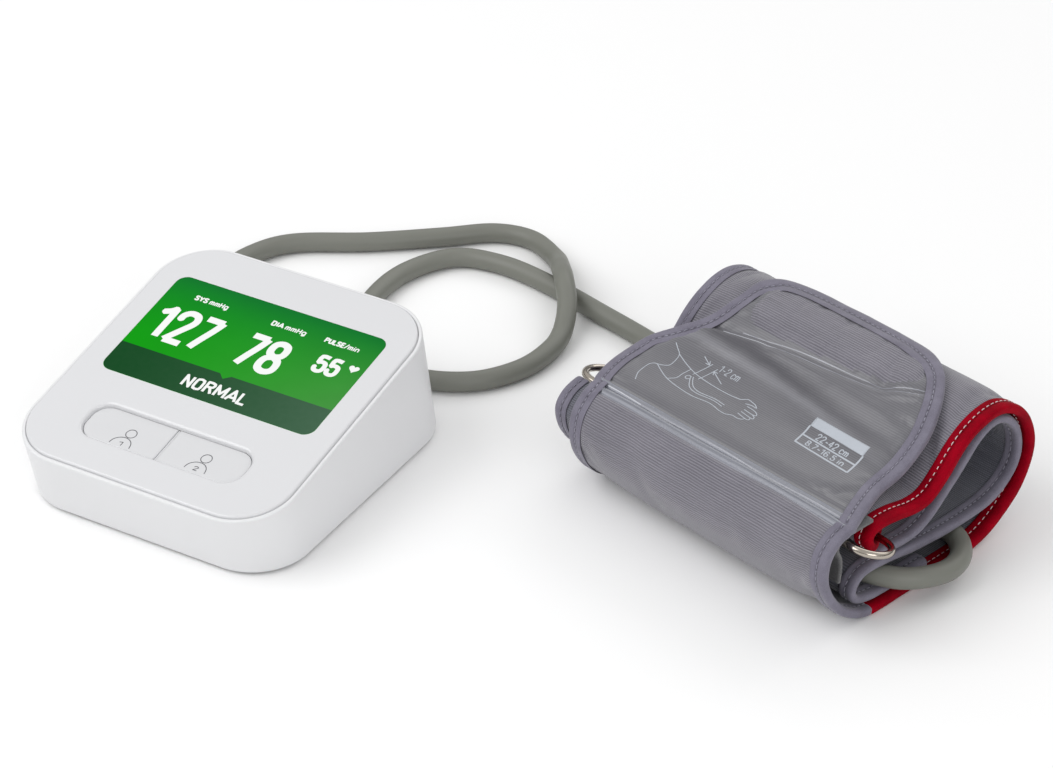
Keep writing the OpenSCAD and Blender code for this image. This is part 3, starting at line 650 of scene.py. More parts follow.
def drawn(name, lines, width, at, material, body="base"):
    """Lines drawn on a surface: each line is (points, closed); at(x, y, lift) gives a point just above it."""
    points, faces = [], []
    for line, closed in lines:
        left, rail = stroke(line, width, closed)
        base, n = len(points), len(line)
        for (x0, y0), (x1, y1) in zip(left, rail):
            points += [at(x0, y0, 0.05), at(x1, y1, 0.05), at(x1, y1, -0.1), at(x0, y0, -0.1)]
        for i in range(n if closed else n - 1):
            a, b = base + 4 * i, base + 4 * ((i + 1) % n)
            faces += [[a + k, a + (k + 1) % 4, b + (k + 1) % 4, b + k] for k in range(4)]
        if not closed:
            faces += caps(n, 4, base)
    return flat_shaded(mesh(name, points, faces, material, body))


# Status bar across the foot of the display, with a small notch in its upper edge
bar = [(x, s) for x, s in outline(104.4, 62.1, 5, 54.5, 8) if s < 71.4]
bar.sort(key=lambda p: atan2(p[1] - 64, p[0]))
bar = [(52.2, 71.5), (3.0, 71.5), (0.2, 69.0), (-2.6, 71.5), (-52.2, 71.5)] + bar
flat_shape("status_bar", [bar], 0.995, 0.012, display_bar)

# Numerals and captions: a tall narrow hand of straight strokes and round corners
GLYPHS = {
    "1": "0.6,9.6 2.2,10.6 3.2,12 | 3.2,12 3.2,0",
    "2": "1,8.6 1.1,10.4 2,11.7 3.2,12 4.5,11.4 5,9.8 4.7,8 3.6,5.6 1,0 | 1,0 5.3,0",
    "5": "4.9,12 1.4,12 1.3,6.6 | 1.3,6.6 2.2,7.5 3.4,7.6 4.6,6.8 5,5 5,2.6 4.5,0.8 3.1,0 1.6,0.6 "
         "1,2.2 1,3.2",
    "7": "0.8,12 5.1,12 | 5.1,12 4.1,8 2.9,4 1.8,0",
    "8": "3,6.3 1.5,7.3 1.1,9.2 1.5,11.2 3,12 4.5,11.2 4.9,9.2 4.5,7.3 3,6.3 1.4,5.2 0.9,3 1.3,0.9 "
         "3,0 4.7,0.9 5.1,3 4.6,5.2 3,6.3",
    "4": "4,0 4,12 0.8,4 5.4,4", "N": "1,0 1,12 5,0 5,12",
    "O": "3,0 1.4,0.8 1,3 1,9 1.4,11.2 3,12 4.6,11.2 5,9 5,3 4.6,0.8 3,0",
    "R": "1,0 1,12 3.4,12 4.7,11.2 5,9.4 4.6,7.4 3.4,6.6 1,6.6 | 3.2,6.6 5.2,0",
    "M": "1,0 1,12 3.6,3 6.2,12 6.2,0", "A": "0.4,0 3,12 5.6,0 | 1.3,3.6 4.7,3.6", "L": "1,12 1,0 4.8,0",
    "S": "5,9.4 4.5,11.4 3,12 1.4,11.3 1,9.4 1.6,7.4 4.4,5 5,2.8 4.5,0.7 3,0 1.4,0.7 1,2.8",
    "Y": "0.6,12 3,5.6 5.4,12 | 3,5.6 3,0", "D": "1,0 1,12 3.2,12 4.7,10.8 5,8.6 5,3.4 4.7,1.2 3.2,0 1,0",
    "I": "1.2,0 1.2,12", "P": "1,0 1,12 3.4,12 4.7,11.2 5,9.2 4.6,7 3.4,6.2 1,6.2",
    "U": "1,12 1,3 1.5,0.8 3,0 4.5,0.8 5,3 5,12", "E": "4.8,12 1,12 1,0 4.8,0 | 1,6.3 4.3,6.3",
    "H": "1,0 1,12 | 5,0 5,12 | 1,6.2 5,6.2",
    "m": "1,0 1,8.4 | 1,7 2.3,8.4 3.4,7.4 3.4,0 | 3.4,7 4.7,8.4 5.8,7.4 5.8,0",
    "g": "4.8,8.4 4.8,-1.6 3.2,-3 1.4,-2.2 | 4.8,6.6 3.2,8.4 1.4,7.4 1,4.2 1.4,1 3.2,0 4.8,1.8",
    "n": "1,0 1,8.4 | 1,6.8 2.8,8.4 4.4,7.4 4.6,5 4.6,0", "i": "1.2,0 1.2,8.2 | 1.2,10.4 1.2,11.8",
    "c": "4.6,6.4 4,8 2.8,8.5 1.4,7.4 1,4.2 1.4,1 2.8,0 4,0.5 4.6,2", "/": "0.4,-0.6 4,12.6",
    "-": "1,5 4,5",
    "6": "4.8,10.2 4,11.7 3,12 1.5,11 1,8.4 1,3.4 1.6,0.8 3,0 4.5,0.8 5,3.4 4.5,6 3,6.8 1.6,6.2 1,4.6",
    ".": "0.9,0.1 1.7,0.1",
}
WIDE = {" ": 3, ".": 2.8, "1": 4.6, "I": 2.6, "i": 2.6, "M": 7.4, "m": 7, "/": 4.4, "L": 5.2, "E": 5.6, "n": 5.8,
        "c": 5.2, "-": 5}
USUAL_WIDTH = 6.1


def written(word, left, base, width, height, steps=3):
    """The centre lines of a word that fills a box, in the surface's own coordinates."""
    lines, x = [], 0.0
    for letter in word:
        for line in GLYPHS.get(letter, "").split("|"):
            pairs = [[float(v) for v in pair.split(",")] for pair in line.split()]
            lines.append([(x + px, py) for px, py in pairs])
        x += WIDE.get(letter, USUAL_WIDTH)
    kx, ky = width / (x - 0.5), height / 12
    lines = [[(left + px * kx, base + py * ky) for px, py in line] for line in lines if line]
    return [curve_of(line, steps) if len(line) > 2 and steps else line for line in lines]


def pen_loops(line, width):
    """A thick line as convex pieces: one bar a segment and one disc a point."""
    loops = []
    for (x0, y0), (x1, y1) in zip(line, line[1:]):
        d = Vector((x1 - x0, y1 - y0))
        if d.length < 1e-6:
            continue
        n = Vector((-d.y, d.x)).normalized() * width / 2
        loops.append([(x0 - n.x, y0 - n.y), (x1 - n.x, y1 - n.y), (x1 + n.x, y1 + n.y), (x0 + n.x, y0 + n.y)])
    return loops + [circle(x, y, width / 2, 12) for x, y in line[1:-1]]


def lettering(name, words):
    loops = []
    for word, left, base, width, height, pen in words:
        steps = 3 if word[0].isdigit() else 0
        for line in written(word, left, base + pen / 2, width, height - pen, steps):
            loops += pen_loops(line, pen)
    flat_shape(name, loops, 0.995, 0.03, display_white)


lettering("numerals", [
    ("127", -47.4, 77.8, 30.6, 21.4, 3.3), ("78", -3.6, 77.8, 20.8, 20.8, 3.3),
    ("55", 30.2, 87.8, 11.8, 10.8, 2.1),
])
lettering("captions", [
    ("SYS", -38.8, 105.2, 6.4, 3.1, 0.72), ("mmHg", -31.4, 105.2, 9.4, 3.1, 0.56),
    ("DIA", 0.2, 104.9, 5.8, 3.1, 0.72), ("mmHg", 7.0, 104.9, 10.4, 3.1, 0.56),
    ("PULSE", 26.6, 105.0, 9.6, 3.1, 0.72), ("/min", 36.4, 105.0, 7, 3.1, 0.56),
    ("NORMAL", -14.9, 58.6, 31.6, 7.2, 1.25),
])
heart = [(47.3 + 0.145 * 16 * sin(t) ** 3,
          96.0 + 0.145 * (13 * cos(t) - 5 * cos(2 * t) - 2 * cos(3 * t) - cos(4 * t)))
         for t in (2 * pi * k / 40 for k in range(40))]
flat_shape("heart_mark", [heart], 0.995, 0.03, display_white)


def button(number, side):
    """Half of the pocket's pill: a shallow dish with soft edges over a wider hidden flange."""
    def loop(margin):
        split = 0.55 + max(margin - 0.3, 0) * 1.5
        whole = outline(78 - 2 * margin, 19.6 - 2 * margin, 8 - margin, 18.3 + margin, 12)
        return [(side * max(side * x, split), s) for x, s in whole]

    rings = [(0.3, -3.4), (0.3, -1.3), (0.3, -1.1), (0.36, -0.85), (0.5, -0.68), (0.72, -0.58), (1.0, -0.55)]
    points = [face(x, s, h) for margin, h in rings for x, s in loop(margin)]
    ring = loop(1.0)
    n = len(ring)
    faces = grid_faces(len(rings), n, False, True)
    cx, cs = sum(p[0] for p in ring) / n, 18.3 + 9.8
    last = (len(rings) - 1) * n
    for step in (0.85, 0.6, 0.3):
        dish = -0.55 - 0.28 * (1 - step) ** 0.8
        points += [face(cx + (x - cx) * step, cs + (s - cs) * step, dish) for x, s in ring]
    points.append(face(cx, cs, -0.83))
    faces += grid_faces(4, n, False, True, last)
    faces += [[last + 3 * n + k, last + 3 * n + (k + 1) % n, len(points) - 1] for k in range(n)]
    faces.append(list(range(n))[::-1])
    piece = mesh(f"button_{number}", points, faces, white_button, f"button_{number}")
    stands(f"user_button_{number}")
    return piece


buttons = button(1, -1), button(2, 1)
rib = lofted("button_rib", [[face(x, s, h) for x, s in ((-w, 18.7), (w, 18.7), (w, 37.5), (-w, 37.5))]
                            for w, h in ((0.42, -3.0), (0.42, -1.25), (0.3, -1.1))], white_button)
crisp(rib)


def icon(number, x, s, under):
    """A person's outline with a numeral, in thin lines on a button."""
    tree = BVHTree.FromObject(under, bpy.context.evaluated_depsgraph_get())

    def on_button(px, py, lift):
        top = face(px, py, 5)
        spot = tree.ray_cast(top, face(px, py, 0) - top)[0]
        return spot + (top - face(px, py, 4)) * lift * 0.8

    head = circle(x + 1.0, s + 6.3, 2.35, 32)
    arms = [(-4.7, -1.4), (-4.3, 0.6), (-3.0, 2.3), (-1.0, 3.3), (1.2, 3.4), (3.2, 2.5), (4.5, 0.8), (5.0, -1.4)]
    lines = [(head, True), (curve_of([(x + u, s + v) for u, v in arms], 5), False)]
    for line in written(str(number), x - 1.1, s - 1.3, 2.4, 2.2):
        lines.append((curve_of(line, 3) if len(line) == 2 else line, False))
    drawn(f"user_mark_{number}", lines, 0.36, on_button, line_ink, f"button_{number}")


icon(1, -18.2, 21.3, buttons[0])
icon(2, 18.4, 21.9, buttons[1])


# ---- Cuff: shapes round the roll ----

class Line:
    """A line round the roll, seen from its right end: places by length along it, in millimetres."""

    def __init__(self, points, steps=16):
        self.p = np.array(smooth(points, steps))
        self.s = np.concatenate([[0], np.cumsum(np.linalg.norm(np.diff(self.p, axis=0), axis=1))])
        d = np.gradient(self.p, axis=0)
        d /= np.linalg.norm(d, axis=1)[:, None]
        d = np.array([np.mean(d[max(i - 8, 0):i + 9], axis=0) for i in range(len(d))])
        self.n = np.stack([-d[:, 1], d[:, 0]], 1)
        self.length = float(self.s[-1])

    def at(self, s, out=0.0):
        """(b, z) at length s, out millimetres outside the line."""
        s = min(max(s, 0.0), self.length)
        n = np.array([np.interp(s, self.s, self.n[:, 0]), np.interp(s, self.s, self.n[:, 1])])
        n /= np.linalg.norm(n)
        return (np.interp(s, self.s, self.p[:, 0]) + n[0] * out, np.interp(s, self.s, self.p[:, 1]) + n[1] * out)

    def near(self, b, z):
        """The length along the line nearest a place."""
        return float(self.s[np.argmin(np.hypot(self.p[:, 0] - b, self.p[:, 1] - z))])


def ripple(a, s, seed, size=26.0, stretch=2.2):
    """Soft creases, longer along the roll than round it, about -1 to 1."""
    p = Vector((a / size / stretch, s / size, seed))
    return noise.noise(p) + 0.5 * noise.noise(p * 2.3 + Vector((7, 3, 1)))


def ease(x):
    x = min(max(x, 0.0), 1.0)
    return x * x * (3 - 2 * x)


class Sheet:
    """A sheet of cuff: a line round the roll, its two side edges and how its outer face rises and falls."""

    place = staticmethod(cuff)

    def __init__(self, line, right, left, thick, crown=0.0, crease=0.0, seed=0.0, welds=(), extra=None):
        self.line, self.right, self.left, self.thick = line, right, left, thick
        self.crown, self.crease, self.seed, self.welds, self.extra = crown, crease, seed, welds, extra

    def inset(self, a, s):
        return min(self.right(s) - a, a - self.left(s))

    def rise(self, a, s):
        """How far the outer face stands off its line: flat at the edges and on the table."""
        up = ease((self.inset(a, s) - 3) / 16) * (self.crown + self.crease * ripple(a, s, self.seed))
        up *= 0.15 + 0.85 * ease((self.line.at(s)[1] - 2) / 6)
        for at, depth, width in self.welds:
            d = abs(s - at)
            up -= depth * exp(-(d / width) ** 2)
            up += 0.5 * depth * exp(-((d - 2.3 * width) / width / 0.8) ** 2)
        return up + (self.extra(a, s) if self.extra else 0)

    def point(self, a, s):
        return self.place(a, *self.line.at(s, self.rise(a, s)))

    def under(self, a, s):
        return self.place(a, *self.line.at(s, -self.thick))

    def out(self, a, s):
        """The direction out of the outer face."""
        return (cuff(a, *self.line.at(s, 1)) - cuff(a, *self.line.at(s, 0))).normalized()


def steps_between(start, end, step):
    n = max(int(round((end - start) / step)), 1)
    return [start + (end - start) * k / n for k in range(n + 1)]


def across_roll(sheet, s, count):
    """Places from the left edge to the right one, closer together near both."""
    left, right = sheet.left(s), sheet.right(s)
    return [left + (right - left) * (t - 0.07 * sin(2 * pi * t)) for t in np.linspace(0, 1, count)]


def sheet_mesh(name, sheet, rows, count, materials, pick=lambda a, s, inside: 0):
    """A closed thin shell: outer face, inner face and the edges between them."""
    uvs = [(a, s) for s in rows for a in across_roll(sheet, s, count)]
    points = [sheet.point(a, s) for a, s in uvs] + [sheet.under(a, s) for a, s in uvs]
    faces = shell_faces(len(rows), count)
    quads = faces[:(len(rows) - 1) * (count - 1)]
    middles = [((uvs[q[0]][0] + uvs[q[2]][0]) / 2, (uvs[q[0]][1] + uvs[q[2]][1]) / 2) for q in quads]
    picks = [pick(a, s, inside) for inside in (False, True) for a, s in middles]
    picks += [0] * (len(faces) - len(picks))
    return mesh(name, points, faces, None, uvs=uvs + uvs, materials=materials, picks=picks, rides=False)


def settle(piece, sheet, rows, count, limit, welds, pressure=3.0, frames=16, grown=10):
    """Lets the outer face swell and crease between its edges and welds, as air-filled cloth does."""
    data = piece.data
    n = len(data.vertices)
    places = [(a, s) for s in rows for a in across_roll(sheet, s, count)]
    held = [i for i, (a, s) in enumerate(places)
            if min(sheet.inset(a, s), s - rows[0], rows[-1] - s) < 7 or min(abs(s - w) for w in welds) < 3]
    rest = np.empty(n * 3)
    data.vertices.foreach_get("co", rest)
    trial = bpy.data.objects.new("trial", data.copy())
    trial.data.vertices.foreach_set("co", rest * grown)
    scene.collection.objects.link(trial)
    trial.vertex_groups.new(name="held").add(held + list(range(len(places), n)), 1.0, "REPLACE")
    cloth = trial.modifiers.new("cloth", "CLOTH")
    for key, value in {
        "vertex_group_mass": "held", "quality": 5, "mass": 0.4, "tension_stiffness": 20,
        "compression_stiffness": 20, "shear_stiffness": 8, "bending_stiffness": 0.8, "tension_damping": 10,
        "compression_damping": 10, "air_damping": 4, "shrink_min": -0.03, "use_pressure": True,
        "uniform_pressure_force": pressure,
    }.items():
        setattr(cloth.settings, key, value)
    cloth.settings.effector_weights.gravity = 0
    cloth.collision_settings.use_collision = False
    cloth.point_cache.frame_start, cloth.point_cache.frame_end = 1, frames
    for frame_number in range(1, frames + 1):
        scene.frame_set(frame_number)
    now = np.empty(n * 3)
    trial.evaluated_get(bpy.context.evaluated_depsgraph_get()).to_mesh().vertices.foreach_get("co", now)
    move = (now / grown - rest).reshape(-1, 3)
    far = np.linalg.norm(move, axis=1)
    far[far == 0] = 1
    move *= (limit * np.tanh(far / limit) / far)[:, None]
    data.vertices.foreach_set("co", rest + move.ravel())
    data.update()
    bpy.data.objects.remove(trial)
    scene.frame_set(1)


wrap_points = [
    (24, 31.4), (14, 29.6), (4.5, 29.6), (-1.8, 32.6), (-4, 37.6), (-1.5, 41.8), (5, 43.4), (14, 42.6),
    (24, 40.6), (32, 41.4), (39.5, 47), (47, 54.6), (55, 60.4), (65, 63.8), (75, 63.6), (85, 58.6),
    (92.5, 49.6), (96, 38.5), (94.5, 27.5), (89, 18), (80.5, 9.8), (70, 3.9), (58, 1.1), (40, 0.7),
    (20, 0.7), (0, 0.8), (-10, 4.4), (-18.8, 11.2), (-25.4, 20.4), (-29, 31), (-27.4, 41.2),
    (-20.5, 47.2), (-12, 49),
]
flap_points = [
    (-12, 49), (-2, 49.7), (8, 50.1), (18, 50.8), (28, 53.2), (37, 57.6), (46, 62.4), (52, 65.4),
    (59, 67.6), (67, 68.9), (75, 69), (82, 67.4),
]
fold_points = [
    (6, 27.4), (14, 26.6), (24, 26.2), (32, 28.4), (40, 34), (48, 41), (55, 48), (62, 54), (70, 57.6),
    (78, 56.8), (85, 51.4), (89.5, 43.4), (90.6, 34.4), (87.6, 26.4), (81, 20.4), (72, 16.8),
    (60, 15.4), (48, 15.3), (36, 16), (24, 17.5), (12, 19.2), (2, 20.2), (-4, 19.2), (-7.4, 15.2),
    (-5.6, 11), (1.5, 8.7), (10, 8.1), (24, 8.1), (36, 8.1),
]
lobe_points = [
    (-9.5, 12.6), (-14.6, 15.6), (-19, 21), (-22.4, 28), (-23.2, 36), (-19.2, 41.6), (-14, 44), (-9.4, 44.6),
]
wrap_line, flap_line, fold_line, lobe_line = map(Line, (wrap_points, flap_points, fold_points, lobe_points))


def edge_by_place(line, pairs):
    """A side edge round the roll, from a few (b, z, a)."""
    s, a = zip(*smooth(sorted((line.near(b, z), a) for b, z, a in pairs), 8))
    return lambda x: float(np.interp(x, s, a))


def edge_by_depth(line, pairs):
    """A side edge over the top, from a few (b, a)."""
    b, a = zip(*smooth(pairs, 8))
    return lambda x: float(np.interp(line.at(x)[0], b, a))


wrap_left = edge_by_place(wrap_line, [
    (24, 31.4, -148), (75, 63.6, -148), (70, 3.9, -148), (20, 0.7, -148), (0, 0.8, -146), (-10, 4.4, -143),
    (-18.8, 11.2, -141), (-25.4, 20.4, -139.8), (-29, 31, -139), (-27.4, 41.2, -139.2), (-20.5, 47.2, -140.2),
    (-12, 49, -142)])
wrap_right = edge_by_place(wrap_line, [
    (24, 31.4, -15), (14, 29.6, -9), (4.5, 29.6, -2.6), (-1.8, 32.6, -0.2), (5, 43.4, 0), (75, 63.6, 0),
    (20, 0.7, 0), (-25.4, 20.4, 0), (-12, 49, -0.5)])
flap_right = edge_by_depth(flap_line, [
    (-12, -0.8), (-6, -3.0), (4, -6.6), (14, -9.2), (26, -9.8), (38, -10.8), (46, -13), (56, -17.4), (66, -24.4),
    (72, -30.6), (76, -37), (78.6, -44), (80.1, -52), (80.6, -60)])
flap_left = edge_by_depth(flap_line, [
    (-12, -142), (-6, -144.4), (6, -147), (20, -147.2), (27, -144.6), (34, -138.4), (40, -132.4), (46.3, -128.4),
    (56, -125.8), (66, -125.2), (72, -122.6), (76.4, -118), (79, -111), (80.4, -103), (80.6, -96)])
flap_end = flap_line.near(80.6, 67.7)


def off_line(p, q, a, b):
    """How far a place (a, b) lies from the line pieces between p and q."""
    at = np.array((a, b))
    t = np.clip(np.sum((at - p) * (q - p), 1) / np.sum((q - p) ** 2, 1), 0, 1)
    return np.min(np.linalg.norm(p + t[:, None] * (q - p) - at, axis=1))


def inside_of(loop):
    """How far a place (a, b) lies inside a loop, in millimetres, and negative outside it."""
    p = np.array(loop, float)
    q = np.roll(p, -1, axis=0)

    def depth(a, b):
        cross = (p[:, 1] > b) != (q[:, 1] > b)
        xs = p[:, 0] + (b - p[:, 1]) / np.where(cross, q[:, 1] - p[:, 1], 1) * (q[:, 0] - p[:, 0])
        return off_line(p, q, a, b) * (1 if np.sum(cross & (xs > a)) % 2 else -1)
    return depth


crease_a, crease_at = zip(*smooth([
    (-150, 38), (-128, 40), (-112, 42.4), (-90, 45.4), (-66, 47.2), (-44, 49.6), (-28, 54.6), (-10, 62)], 6))
pad_depth = inside_of(smooth([
    (-96, 48.6), (-64, 50.6), (-44, 53.4), (-33, 58.6), (-33.5, 64.5), (-42, 70), (-54, 72.8), (-76, 73.8),
    (-98, 73.8), (-110, 72.2), (-115.4, 66.6), (-115.6, 57), (-112.6, 50), (-106, 47.6), (-96, 48.6)], 4)[:-1])


def crease_b(a):
    return float(np.interp(a, crease_a, crease_at))


def wrinkle(a, b, line, width):
    """A soft ridge along a line of (a, b), 0 to 1."""
    p = np.array(line, float)
    return exp(-(off_line(p[:-1], p[1:], a, b) / width) ** 2)


WRINKLES = [
    (-0.9, 4.2, [(-43, 52), (-47, 60)]),
    (0.75, 3.0, [(-124, 33), (-104, 35), (-82, 31), (-60, 25), (-38, 24), (-16, 25)]),
    (-0.5, 3.6, [(-118, 40), (-98, 39), (-76, 36), (-50, 33), (-24, 34)]),
    (0.4, 3.2, [(-60, 42), (-40, 41), (-20, 46)]),
]


def flap_shape(a, s):
    """The welded crease, the pad that shows through beyond it, and the print area's slack film."""
    b = flap_line.at(s)[0]
    d = b - crease_b(a)
    up = -1.0 * exp(-(d / 1.5) ** 2) + 0.45 * exp(-((d + 3.0) / 1.4) ** 2)
    up += 0.9 * ease((pad_depth(a, b) + 0.5) / 2.6)
    for height, width, line in WRINKLES:
        up += height * wrinkle(a, b, line, width)
    return up * ease((min(flap_right(s) - a, a - flap_left(s), flap_end - s) - 5) / 5)


THICK, FOLD_THICK, LOBE_THICK = 2.9, 2.5, 2.3
wrap_weld = wrap_line.length - 4.2
wrap = Sheet(wrap_line, wrap_right, wrap_left, THICK, 0.45, 0.7, 1.0,
             [(wrap_weld, 0.55, 1.0), (wrap_line.length, 0.8, 1.1)])
flap = Sheet(flap_line, flap_right, flap_left, THICK, 0.15, 0.3, 4.0,
             [(0.0, 0.8, 1.1), (4.4, 0.5, 0.9)], flap_shape)
fold = Sheet(fold_line, lambda s: -2.0, lambda s: -152.0, FOLD_THICK, 0.1, 0.3, 8.0)
lobe = Sheet(lobe_line, lambda s: -120.0, lambda s: -153.0, LOBE_THICK, 0.0, 0.1, 21.0)

wrap_rows = steps_between(0, wrap_line.length - 9, 3.0)
wrap_rows += steps_between(wrap_line.length - 8.2, wrap_line.length, 0.75)
flap_rows = steps_between(0, 6.4, 0.8) + steps_between(8.0, flap_end - 38, 1.9)
flap_rows += steps_between(flap_end - 36.8, flap_end - 8, 1.3)
flap_rows += [flap_end - d for d in (6.6, 5.2, 3.9, 2.8, 1.9, 1.2, 0.6, 0.1)]
fold_rows = steps_between(0, fold_line.length, 3.0)


def wrap_pick(a, s, inside):
    return 1 if inside else (2 if s > wrap_line.length - 4.4 else 0)


def flap_pick(a, s, inside):
    if inside or s < 2.2:
        return 1 if inside else 3
    return 0 if pad_depth(a, flap_line.at(s)[0]) > -0.5 else 2


wrap_cloth = sheet_mesh("wrap_cloth", wrap, wrap_rows, 52, [nylon, nylon_inside, weld], wrap_pick)
flap_cloth = sheet_mesh("flap_cloth", flap, flap_rows, 84, [nylon, nylon_inside, film, weld], flap_pick)
fold_cloth = sheet_mesh("fold_cloth", fold, fold_rows, 40, [nylon_inside])
lobe_cloth = sheet_mesh("lobe_cloth", lobe, steps_between(0, lobe_line.length, 1.6), 24, [nylon_inside])
settle(wrap_cloth, wrap, wrap_rows, 52, 0.0012, [wrap_line.length, wrap_weld])
settle(flap_cloth, flap, flap_rows, 84, 0.0008, [0, flap_line.near(47, 62.9)])
for piece in (wrap_cloth, flap_cloth, fold_cloth, lobe_cloth):
    subdivided(piece)


# ---- Cuff: bindings and stitches ----

def along(places):
    """Each place with the direction out of the cloth and the one into the sheet, for a run of (place, out)."""
    last = len(places) - 1
    return [(p, n, n.cross(places[min(i + 2, last)][0] - places[max(i - 2, 0)][0]).normalized())
            for i, (p, n) in enumerate(places)]


def side_run(sheet, edge, rows, turn):
    """Along a side edge, whose cloth lies to the left of the way or, with turn -1, to the right."""
    run = along([(sheet.point(edge(s), s), sheet.out(edge(s), s)) for s in rows])
    return [(p, n, side * turn) for p, n, side in run]


TAPE = [(-5.6, -0.1), (-5.75, 0.16), (-6.3, 0.2), (-6.35, 0.42), (-5.9, 0.56), (-4.8, 0.6), (-3.9, 0.5),
        (-3.2, 0.22), (-2.5, 0.5), (-1.5, 0.62), (-0.5, 0.5), (0.3, 0.1), (0.62, -0.5)]


def tape(name, run, thick, material, widths=1.0, rides=True):
    """A binding folded over an edge, puckered by its stitches; widths is a number or one for each place."""
    section = TAPE + [(u, -thick - v) for u, v in reversed(TAPE)]
    points, uvs, length = [], [], 0.0
    for i, (p, n, side) in enumerate(run):
        length += (p - run[i - 1][0]).length * 1000 if i else 0
        for k, (u, v) in enumerate(section):
            top = v > -thick / 2
            u *= widths if isinstance(widths, float) else widths[i]
            pucker = noise.noise(Vector((length / 2.4, u / 4.0, 5.0 if top else 11.0)))
            pucker *= 0.13 if abs(u) < 5.8 else 0.13 * 0.3
            soft = 0.2 * noise.noise(Vector((length / 16.0, u / 9.0, 2.0)))
            lift = (pucker + soft) * (1 if top else -1)
            points.append(p - side * (u + soft) * 0.001 + n * (v + lift) * 0.001)
            uvs.append((length, k * 0.7))
    k = len(section)
    faces = grid_faces(len(run), k, False, True) + caps(len(run), k)
    piece = subdivided(mesh(name, points, faces, material, uvs=uvs, rides=False))
    if rides:
        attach(piece, "base")
    return piece


def seam(run, into, thick):
    """Where a binding's stitches lie, on its outer face and on its inner one."""
    into = [into] * len(run) if isinstance(into, float) else into
    lines = [(p + a * d * 0.001, n) for (p, n, a), d in zip(run, into)]
    return [[(p + n * 0.00040, n) for p, n in lines], [(p - n * (thick + 0.40) * 0.001, -n) for p, n in lines]]


def stitches(name, paths, material, rides=True, long=1.9, thick=0.22, thin=0.12):
    """Short dashes of thread along paths of (place, direction out of the cloth)."""
    points, faces = [], []
    for path in paths:
        run = np.concatenate([[0], np.cumsum([(q - p).length * 1000 for (p, _), (q, _) in zip(path, path[1:])])])
        places, outs = (np.array([tuple(pair[side]) for pair in path]) for side in (0, 1))

        def on_path(values, at):
            return Vector([np.interp(at, run, values[:, c]) for c in range(3)])

        for at in np.arange(1.0, run[-1] - long, STITCH_PITCH):
            ends = [on_path(places, at + long * t) for t in (0, 0.25, 0.75, 1)]
            n = on_path(outs, at + long / 2).normalized()
            side = (ends[3] - ends[0]).normalized().cross(n).normalized()
            base = len(points)
            for end, r, up in zip(ends, (thin, thick, thick, thin), (-0.12, 0.1, 0.1, -0.12)):
                for t in (pi * k / 3 for k in range(6)):
                    points.append(end + (side * cos(t) * r + n * (sin(t) * r * 0.8 + up)) * 0.001)
            faces += grid_faces(4, 6, False, True, base, True) + [cap[::-1] for cap in caps(4, 6, base)]
    return mesh(name, points, faces, material, rides=rides)


red_stop = wrap_line.near(0, 0.8)
fine = steps_between(0, wrap_line.length, 2.0)
flap_fine = steps_between(1.5, flap_end - 9, 2.0)
flap_fine += [flap_end - d for d in (7.5, 6.0, 4.6, 3.4, 2.4, 1.6, 1.0, 0.5, 0.2)]
red_run = side_run(wrap, wrap_right, [s for s in fine if s <= red_stop + 1], 1)
front = [(wrap, wrap_right(s), s) for s in fine if s >= red_stop - 1.5]
front += [(flap, flap_right(s), s) for s in flap_fine]
top_right, top_left = flap_right(flap_end - 0.2), flap_left(flap_end - 0.2)
count = int((top_right - top_left) / 2.4)
front += [(flap, top_right + (top_left - top_right) * k / count, flap_end - 0.1) for k in range(1, count)]
front += [(flap, flap_left(s), s) for s in reversed(flap_fine)]
front += [(wrap, wrap_left(s), s) for s in reversed(fine) if s >= red_stop]
front_wide = [1.08 + (0.75 * ease((flap_line.at(s)[0] - 58) / 16) * ease((-22 - a) / 24) if sheet is flap else 0)
              for sheet, a, s in front]
front_run = along([(sheet.point(a, s), sheet.out(a, s)) for sheet, a, s in front])
left_run = side_run(wrap, wrap_left, [s for s in fine if s <= red_stop + 1], -1)
red_tape = tape("red_binding_tape", red_run, THICK, tape_red, 1.12)
front_tape = tape("front_binding_tape", front_run, THICK, tape_grey, front_wide, rides=False)
left_tape = tape("left_binding_tape", left_run, THICK, tape_grey)
red_thread = stitches("red_binding_stitches", seam(red_run, 4.2, THICK), thread_pale)
front_seam = seam(front_run, [3.2 * w for w in front_wide], THICK)
front_thread = stitches("front_binding_stitches", front_seam, thread_grey, rides=False)
left_thread = stitches("left_binding_stitches", seam(left_run, 3.2, THICK), thread_grey)
fold_fine = steps_between(0, fold_line.length, 2.0)
fold_runs = [side_run(fold, fold.right, fold_fine, 1), side_run(fold, fold.left, fold_fine, -1)]
fold_tapes = [tape(f"fold_tape_{side}", run, FOLD_THICK, tape_grey)
              for side, run in zip(("right", "left"), fold_runs)]
lobe_run = side_run(lobe, lobe.left, steps_between(0, lobe_line.length, 1.6), -1)
lobe_tape = tape("lobe_tape", lobe_run, LOBE_THICK, tape_grey)
inner_seams = [*seam(fold_runs[0], 3.2, FOLD_THICK), *seam(fold_runs[1], 3.2, FOLD_THICK)]
fold_thread = stitches("fold_stitches", inner_seams + seam(lobe_run, 3.2, LOBE_THICK), thread_grey)


# ---- Cuff: ring, felt tab, hook pad and print ----

lean, twist = radians(-17), radians(-3.7)


def ring_place(a, y, z):
    """In the ring's own frame, which is turned a little against the cuff: a along it, y across it."""
    along_ring, c, s = a + 73, cos(twist), sin(twist)
    return cuff(-73 + along_ring * c - y * s, -0.9 + along_ring * s + y * c, z)


